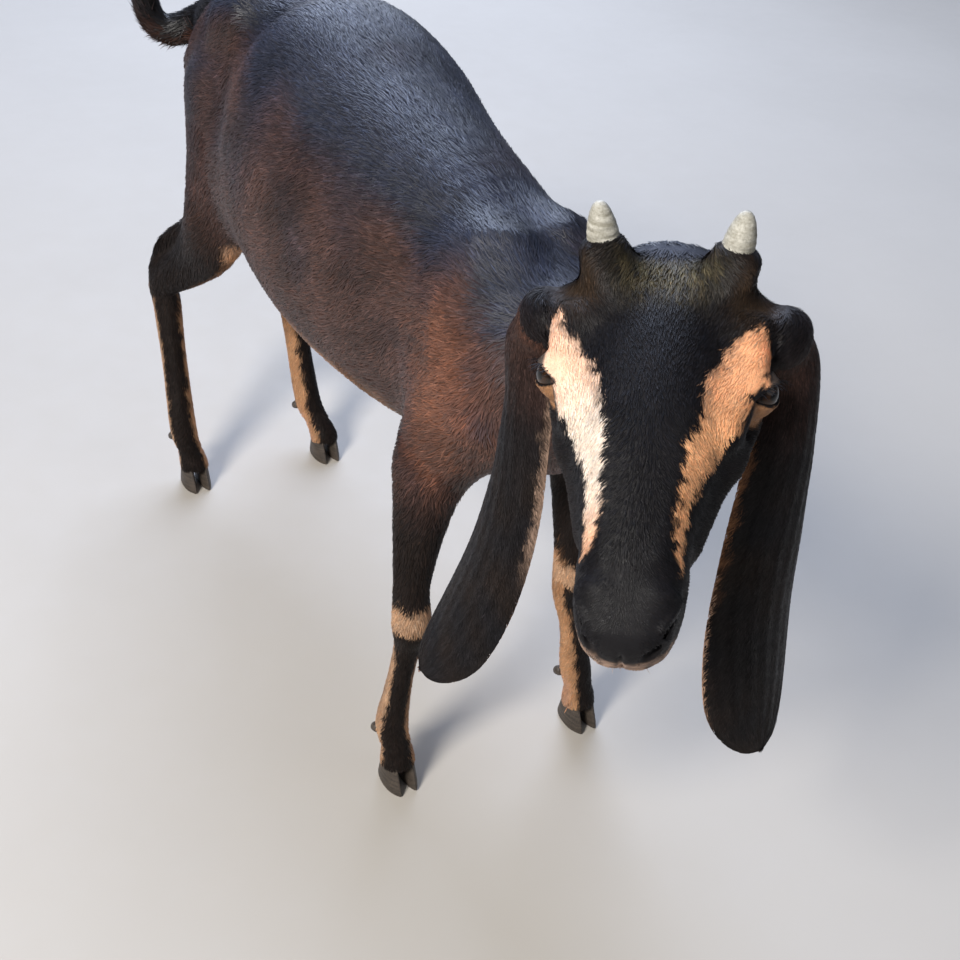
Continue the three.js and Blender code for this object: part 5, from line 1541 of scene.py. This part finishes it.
def tube(rows, up, around):
    rows = np.asarray(rows, float)
    axis = unit(np.gradient(rows[:, :3], axis=0))
    up = unit(up - axis * (axis @ up)[:, None])
    side = np.cross(axis, up)
    angle = np.arange(around) / around * 2 * math.pi
    return (rows[:, None, :3] + side[:, None] * (np.cos(angle) * rows[:, 3:4])[..., None]
            + up[:, None] * (np.sin(angle) * rows[:, 4:5])[..., None])


def make_horn(side):
    base = HORN_PLACE * [side, 1, 1]
    rise = unit([side * HORN_RISE[0], HORN_RISE[1], HORN_RISE[2]])
    taper = np.array([[0, 1], [0.3, 0.98], [0.55, 0.86], [0.78, 0.66], [0.93, 0.44], [1, 0.2]])
    rows = []
    for t in np.linspace(0, 1, 46) ** 0.85:
        thick = np.interp(t, taper[:, 0], taper[:, 1])
        thick += 0.02 * math.sin(t * 40) * (1 - t)
        centre = base + rise * (t * (HORN_LENGTH + HORN_SUNK) - HORN_SUNK)
        centre[1] += 2.5 * t * t
        rows.append([*centre, HORN_RADIUS * thick, HORN_RADIUS * thick * 0.92])
    points, triangles = loft(tube(rows, np.array([side, 0, 0]), 36))
    return from_head(points), triangles


def make_claw(foot, cleft):
    rings = []
    levels = [(0, 0.84), (0, 0.90), (0.03, 0.945), (0.08, 0.985), (0.15, 1.0)]
    levels += [(t, 1 - 0.14 * ((t - 0.15) / 0.85) ** 1.15) for t in np.linspace(0.2, 0.97, 14)]
    levels += [(0.995, 0.835), (1.0, 0.78)]
    for level, spread in levels:
        ring = []
        for j in range(48):
            angle = j / 48 * 2 * math.pi
            across, forward = math.sin(angle), math.cos(angle)
            half = CLAW_WIDTH / 2 * (1 - 0.45 * forward ** 3 if forward > 0 else 1)
            flat = 0.72 if across * cleft > 0 else 1
            x, y = across * half * flat, -forward * CLAW_LENGTH / 2
            front = 0.5 - y / CLAW_LENGTH
            height = CLAW_BACK + (CLAW_FRONT - CLAW_BACK) * front
            ripple = 1 + 0.006 * math.sin(level * 34) * (0 < level < 0.99)
            ring.append([x * spread * ripple, y * spread * ripple + level * 8 * front, level * height])
        rings.append(ring)
    points, triangles = loft(rings)
    points[:, 0] += foot[0] - cleft * (CLAW_WIDTH * 0.43 + CLAW_CLEFT / 2)
    points[:, 1] += foot[1]
    return points, triangles


def make_dewclaw(fetlock, side):
    shape = np.array([[0, 3.6], [3, 4.2], [7, 3.6], [9.5, 1.6]])
    rows = []
    for out in np.linspace(0, 9.5, 16):
        radius = np.interp(out, shape[:, 0], shape[:, 1]) * (1 - 0.35 * smooth(8.6, 9.5, out))
        rows.append([fetlock[0] + side * 7, fetlock[1] + 7 + out * 0.8, 47 - out * 0.6, radius, radius])
    return loft(tube(rows, np.array([0, 0, 1]), 20))


def make_eye(side):
    """A ball with a slight cornea, that looks along its own z."""
    polar, round_about = np.linspace(0.02, math.pi - 0.02, 48), np.arange(64) / 64 * 2 * math.pi
    rings = []
    for angle in polar:
        radius = EYE_RADIUS + 0.9 * math.exp(-(angle / 0.45) ** 2)
        rings.append([[radius * math.sin(angle) * math.cos(a), radius * math.sin(angle) * math.sin(a),
                       radius * math.cos(angle)] for a in round_about])
    points, triangles = loft(rings)
    thing = mesh_object(f"eyeball_{'left' if side > 0 else 'right'}", points + BOX_MIDDLE, triangles)
    flip = np.array([side, 1, 1])
    axes = np.stack([ahead * flip * side, above * flip, look * flip], 1)
    world = Matrix(np.block([[HEAD_AXES @ axes, to_part(from_head(EYE_PLACE * flip))[:, None]],
                             [np.zeros((1, 3)), np.ones((1, 1))]]).tolist())
    thing.matrix_world = world
    return thing


# The skin and ears as one mesh
FILLET = 9.0


def pull(apart):
    return np.maximum(FILLET - apart, 0) ** 2 / (4 * FILLET)


def filleted(p):
    """How far the outside of an ear is drawn outwards where it runs into the head."""
    return pull(np.abs(skin_field(p.astype(np.float32)))).astype(float)


def settle_ears(points, normals, sheets):
    """Fillets the ears into the head: each draws the other's surface a little outwards."""
    for ear_points, ear_triangles, params in sheets:
        down, outer = params[:, 0], params[:, 2] > 0.5
        near = np.flatnonzero(outer & (down < 0.3))
        push = filleted(ear_points[near])
        faces = ear_triangles[(outer & (down < 0.4))[ear_triangles].all(1)]
        tree = BVHTree.FromPolygons(ear_points.tolist(), faces.tolist())
        for i in np.flatnonzero(np.linalg.norm(points - ear_points[near].mean(0), axis=1) < 70):
            spot, normal, _, gap = tree.find_nearest(Vector(points[i]), FILLET)
            if spot is not None:
                apart = abs((Vector(points[i]) - spot).dot(normal))
                points[i] += normals[i] * pull(max(apart, gap * 0.999))
        ear_points[near] += normals_of(ear_points, ear_triangles)[near] * push[:, None]


def corner_maps_of(points, triangles):
    """The skin's corners on the map, with no triangle torn across a region's seam."""
    region = np.repeat(region_of(points[triangles].mean(1)), 3)
    uv = unwrapped(points[triangles].reshape(-1, 3), region).reshape(-1, 3, 2)
    u = uv[..., 0]
    u += (np.ptp(u, axis=1) > 0.5)[:, None] & (u < 0.5)
    return on_island(uv.reshape(-1, 2), region)


def one_skin(points, triangles, normals, ears, sheets):
    """The skin and both ears as one mesh, with their markings."""
    parts = [(points, triangles, coat_colour(points, normals, region_of(points)),
              corner_maps_of(points, triangles))]
    for ear, (ear_points, ear_triangles, params) in zip(ears, sheets):
        down, across, face = params.T
        island = np.where(face[ear_triangles].min(1) > 0.5, EAR_R[(ear.side, 1)], EAR_R[(ear.side, 0)])
        uv = params[ear_triangles][..., [1, 0]] * [0.5, 1] + [0.5, 0]
        parts.append((ear_points, ear_triangles,
                      ear_colour(ear.side, down, across * ear.front(), face, ear_points),
                      on_island(uv.reshape(-1, 2), np.repeat(island, 3))))
    starts = np.cumsum([0] + [len(part[0]) for part in parts])
    triangles = np.concatenate([part[1] + start for part, start in zip(parts, starts)])
    points, colours, maps = (np.concatenate([part[k] for part in parts]) for k in (0, 2, 3))
    skin = mesh_object("skin", points, triangles, colours, corner_maps=maps)
    skin.data.materials.append(coat_material("skin_coat", 0))
    return skin


points, triangles = make_skin()
ears = [Ear(1), Ear(-1)]
sheets = [ear_mesh(ear) for ear in ears]
settle_ears(points, normals_of(points, triangles), sheets)
normals = normals_of(points, triangles)
skin = one_skin(points, triangles, normals, ears, sheets)

# The coat over it
middles = points[triangles].mean(1)
roots, root_normals = roots_on(points, triangles, normals, coat_style(middles, region_of(middles))[3])
root_region = region_of(roots)
coats = {}


def piece_for(name):
    return coats.setdefault(name, Pieces())


def by_piece(region, points):
    side = points[:, 0] > 0
    q = to_head(points)
    groups = {
        "torso_left": (region == TORSO_R) & side, "torso_right": (region == TORSO_R) & ~side,
        "neck_tail": (region == NECK_R) | (region == TAIL_R),
        "head_left": (region == HEAD_R) & (q[:, 0] > 0), "head_right": (region == HEAD_R) & (q[:, 0] <= 0),
        "forelegs": (region == FL) | (region == FR), "hindlegs": (region == HL) | (region == HR),
    }
    return [(piece_for(name), np.flatnonzero(mask)) for name, mask in groups.items()]


comb(roots, root_normals, root_region, by_piece)
lashes_and_whiskers(roots, root_normals, root_region, by_piece)
for ear in ears:
    name = "ear_left" if ear.side > 0 else "ear_right"
    for face, style in EAR_TUFTS.items():
        comb_ear(ear, piece_for(name), face, *style)

hair = {"torso": coat_material("hair_body", 0.34), "neck": coat_material("hair_neck", 0.34),
        "head": coat_material("hair_head", 0.11)}
for name, piece in coats.items():
    thing = piece.made(f"coat_{name}")
    thing.data.materials.append(hair.get(name.split("_")[0], hair["head"]))
    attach(thing, "root")

FLESH = ["torso", "neck", "head", "tail", "ear_left", "ear_right", "foreleg_left", "foreleg_right",
         "hindleg_left", "hindleg_right"]
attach(skin, "root")
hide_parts(*FLESH)

horn_finish = keratin_material(
    "horn_keratin", rings=(70, (1, 1, 7)), fine=(900, None), tones=("8f8c80", "c3c1b8", "6c675a"),
    worn=(0.4, 0.7, 0, 0.5), rough=(0.45, 0.75), specular=0.4, relief=(0.5, 0.6))
claw_finish = keratin_material(
    "claw_keratin", rings=(60, (1, 1, 9)), fine=(700, (3, 3, 1)), tones=("221e1b", "463d36", "6d6154"),
    worn=(0.45, 0.8, 0, 0.6), rough=(0.38, 0.7), specular=0.5, relief=(0.4, 0.5))
wet = eye_material()
for side, name in ((1, "left"), (-1, "right")):
    eye = make_eye(side)
    horn = mesh_object(f"horn_nub_{name}", *make_horn(side))
    for thing, finish, slot, node in ((eye, wet, "eye", f"eye_{name}"),
                                      (horn, horn_finish, "horn", f"horn_{name}")):
        thing.data.materials.append(finish)
        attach(thing, "root")
        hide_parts(node)
    for end, legs in (("front", FORELEGS), ("rear", HINDLEGS)):
        for where, inner in (("inner", side), ("outer", -side)):
            claw = mesh_object(f"hoof_{end}_{name}_{where}", *make_claw(legs[side]["foot"], inner))
            dew = mesh_object(f"dew_{end}_{name}_{where}", *make_dewclaw(legs[side]["fetlock"], -inner))
            for thing, node in ((claw, "claw"), (dew, "dewclaw")):
                thing.data.materials.append(claw_finish)
                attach(thing, "root")
                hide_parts(f"{node}_{end}_{name}_{where}")


# Floor, light and camera
FLOOR_REACH = 6.0
PHOTO_SIZE, FOCAL_LENGTH = 960, 1360.4  # in pixels, from the fit to the photo
CAMERA_PLACE = (-0.4244, -0.7003, 0.8024)
CAMERA_AZIMUTH, CAMERA_DIP, CAMERA_ROLL = (math.radians(a) for a in (36.2, 36.6, 6.53))
SENSOR = 36
# Place, height of the spot it faces, width, power and colour
LAMPS = {
    "key": ((-1.9, -0.7, 2.0), 0.3, 0.8, 98, (1.0, 0.96, 0.9)),
    "top": ((0.8, 1.8, 2.5), 0.35, 2.0, 100, (0.64, 0.75, 1.0)),
    "fill": ((1.6, -2.2, 1.5), 0.3, 2.0, 6, (1.0, 0.98, 0.96)),
    "back": ((1.4, 2.3, 1.4), 0.35, 1.6, 20, (0.75, 0.84, 1.0)),
}


def make_floor():
    mesh = bpy.data.meshes.new("floor")
    corners = [(x * FLOOR_REACH, y * FLOOR_REACH, 0) for x, y in ((-1, -1), (1, -1), (1, 1), (-1, 1))]
    mesh.from_pydata(corners, [], [(0, 1, 2, 3)])
    s = Shader("floor_pale")
    s.set(Base_Color=s.mixed(s.noise(3, 3), shade("b0aba4"), shade("bab5ae")),
          Roughness=s.ranged(s.noise(30, 3), 0.3, 0.7, 0.7, 0.85))
    mesh.materials.append(s.material)
    linked("floor", mesh)


def make_lamps():
    for name, (place, height, width, power, colour) in LAMPS.items():
        data = bpy.data.lights.new(name, "AREA")
        data.shape, data.size, data.energy, data.color = "DISK", width, power, colour
        thing = linked(name, data)
        thing.location = place
        aim = Vector((0, 0, height)) - Vector(place)
        thing.rotation_euler = aim.to_track_quat("-Z", "Y").to_euler()
    world = bpy.data.worlds.new("studio")
    world.use_nodes = True
    sky = world.node_tree.nodes["Background"].inputs
    sky["Color"].default_value = (0.80, 0.87, 1.0, 1.0)
    sky["Strength"].default_value = 0.13
    bpy.context.scene.world = world


def make_camera():
    flat = math.cos(CAMERA_DIP)
    forward = Vector((math.sin(CAMERA_AZIMUTH) * flat, math.cos(CAMERA_AZIMUTH) * flat,
                      -math.sin(CAMERA_DIP)))
    level = forward.cross(Vector((0, 0, 1))).normalized()
    upright = level.cross(forward)
    cosine, sine = math.cos(CAMERA_ROLL), math.sin(CAMERA_ROLL)
    right, up = level * cosine + upright * sine, upright * cosine - level * sine
    data = bpy.data.cameras.new("camera")
    data.sensor_width = SENSOR
    data.lens = FOCAL_LENGTH / PHOTO_SIZE * SENSOR
    data.clip_start = 0.01
    camera = linked("camera", data)
    camera.matrix_world = Matrix((*zip(right, up, -forward, CAMERA_PLACE), (0, 0, 0, 1)))
    bpy.context.scene.camera = camera


bpy.context.scene.view_settings.view_transform = "Standard"
make_floor()
make_lamps()
make_camera()
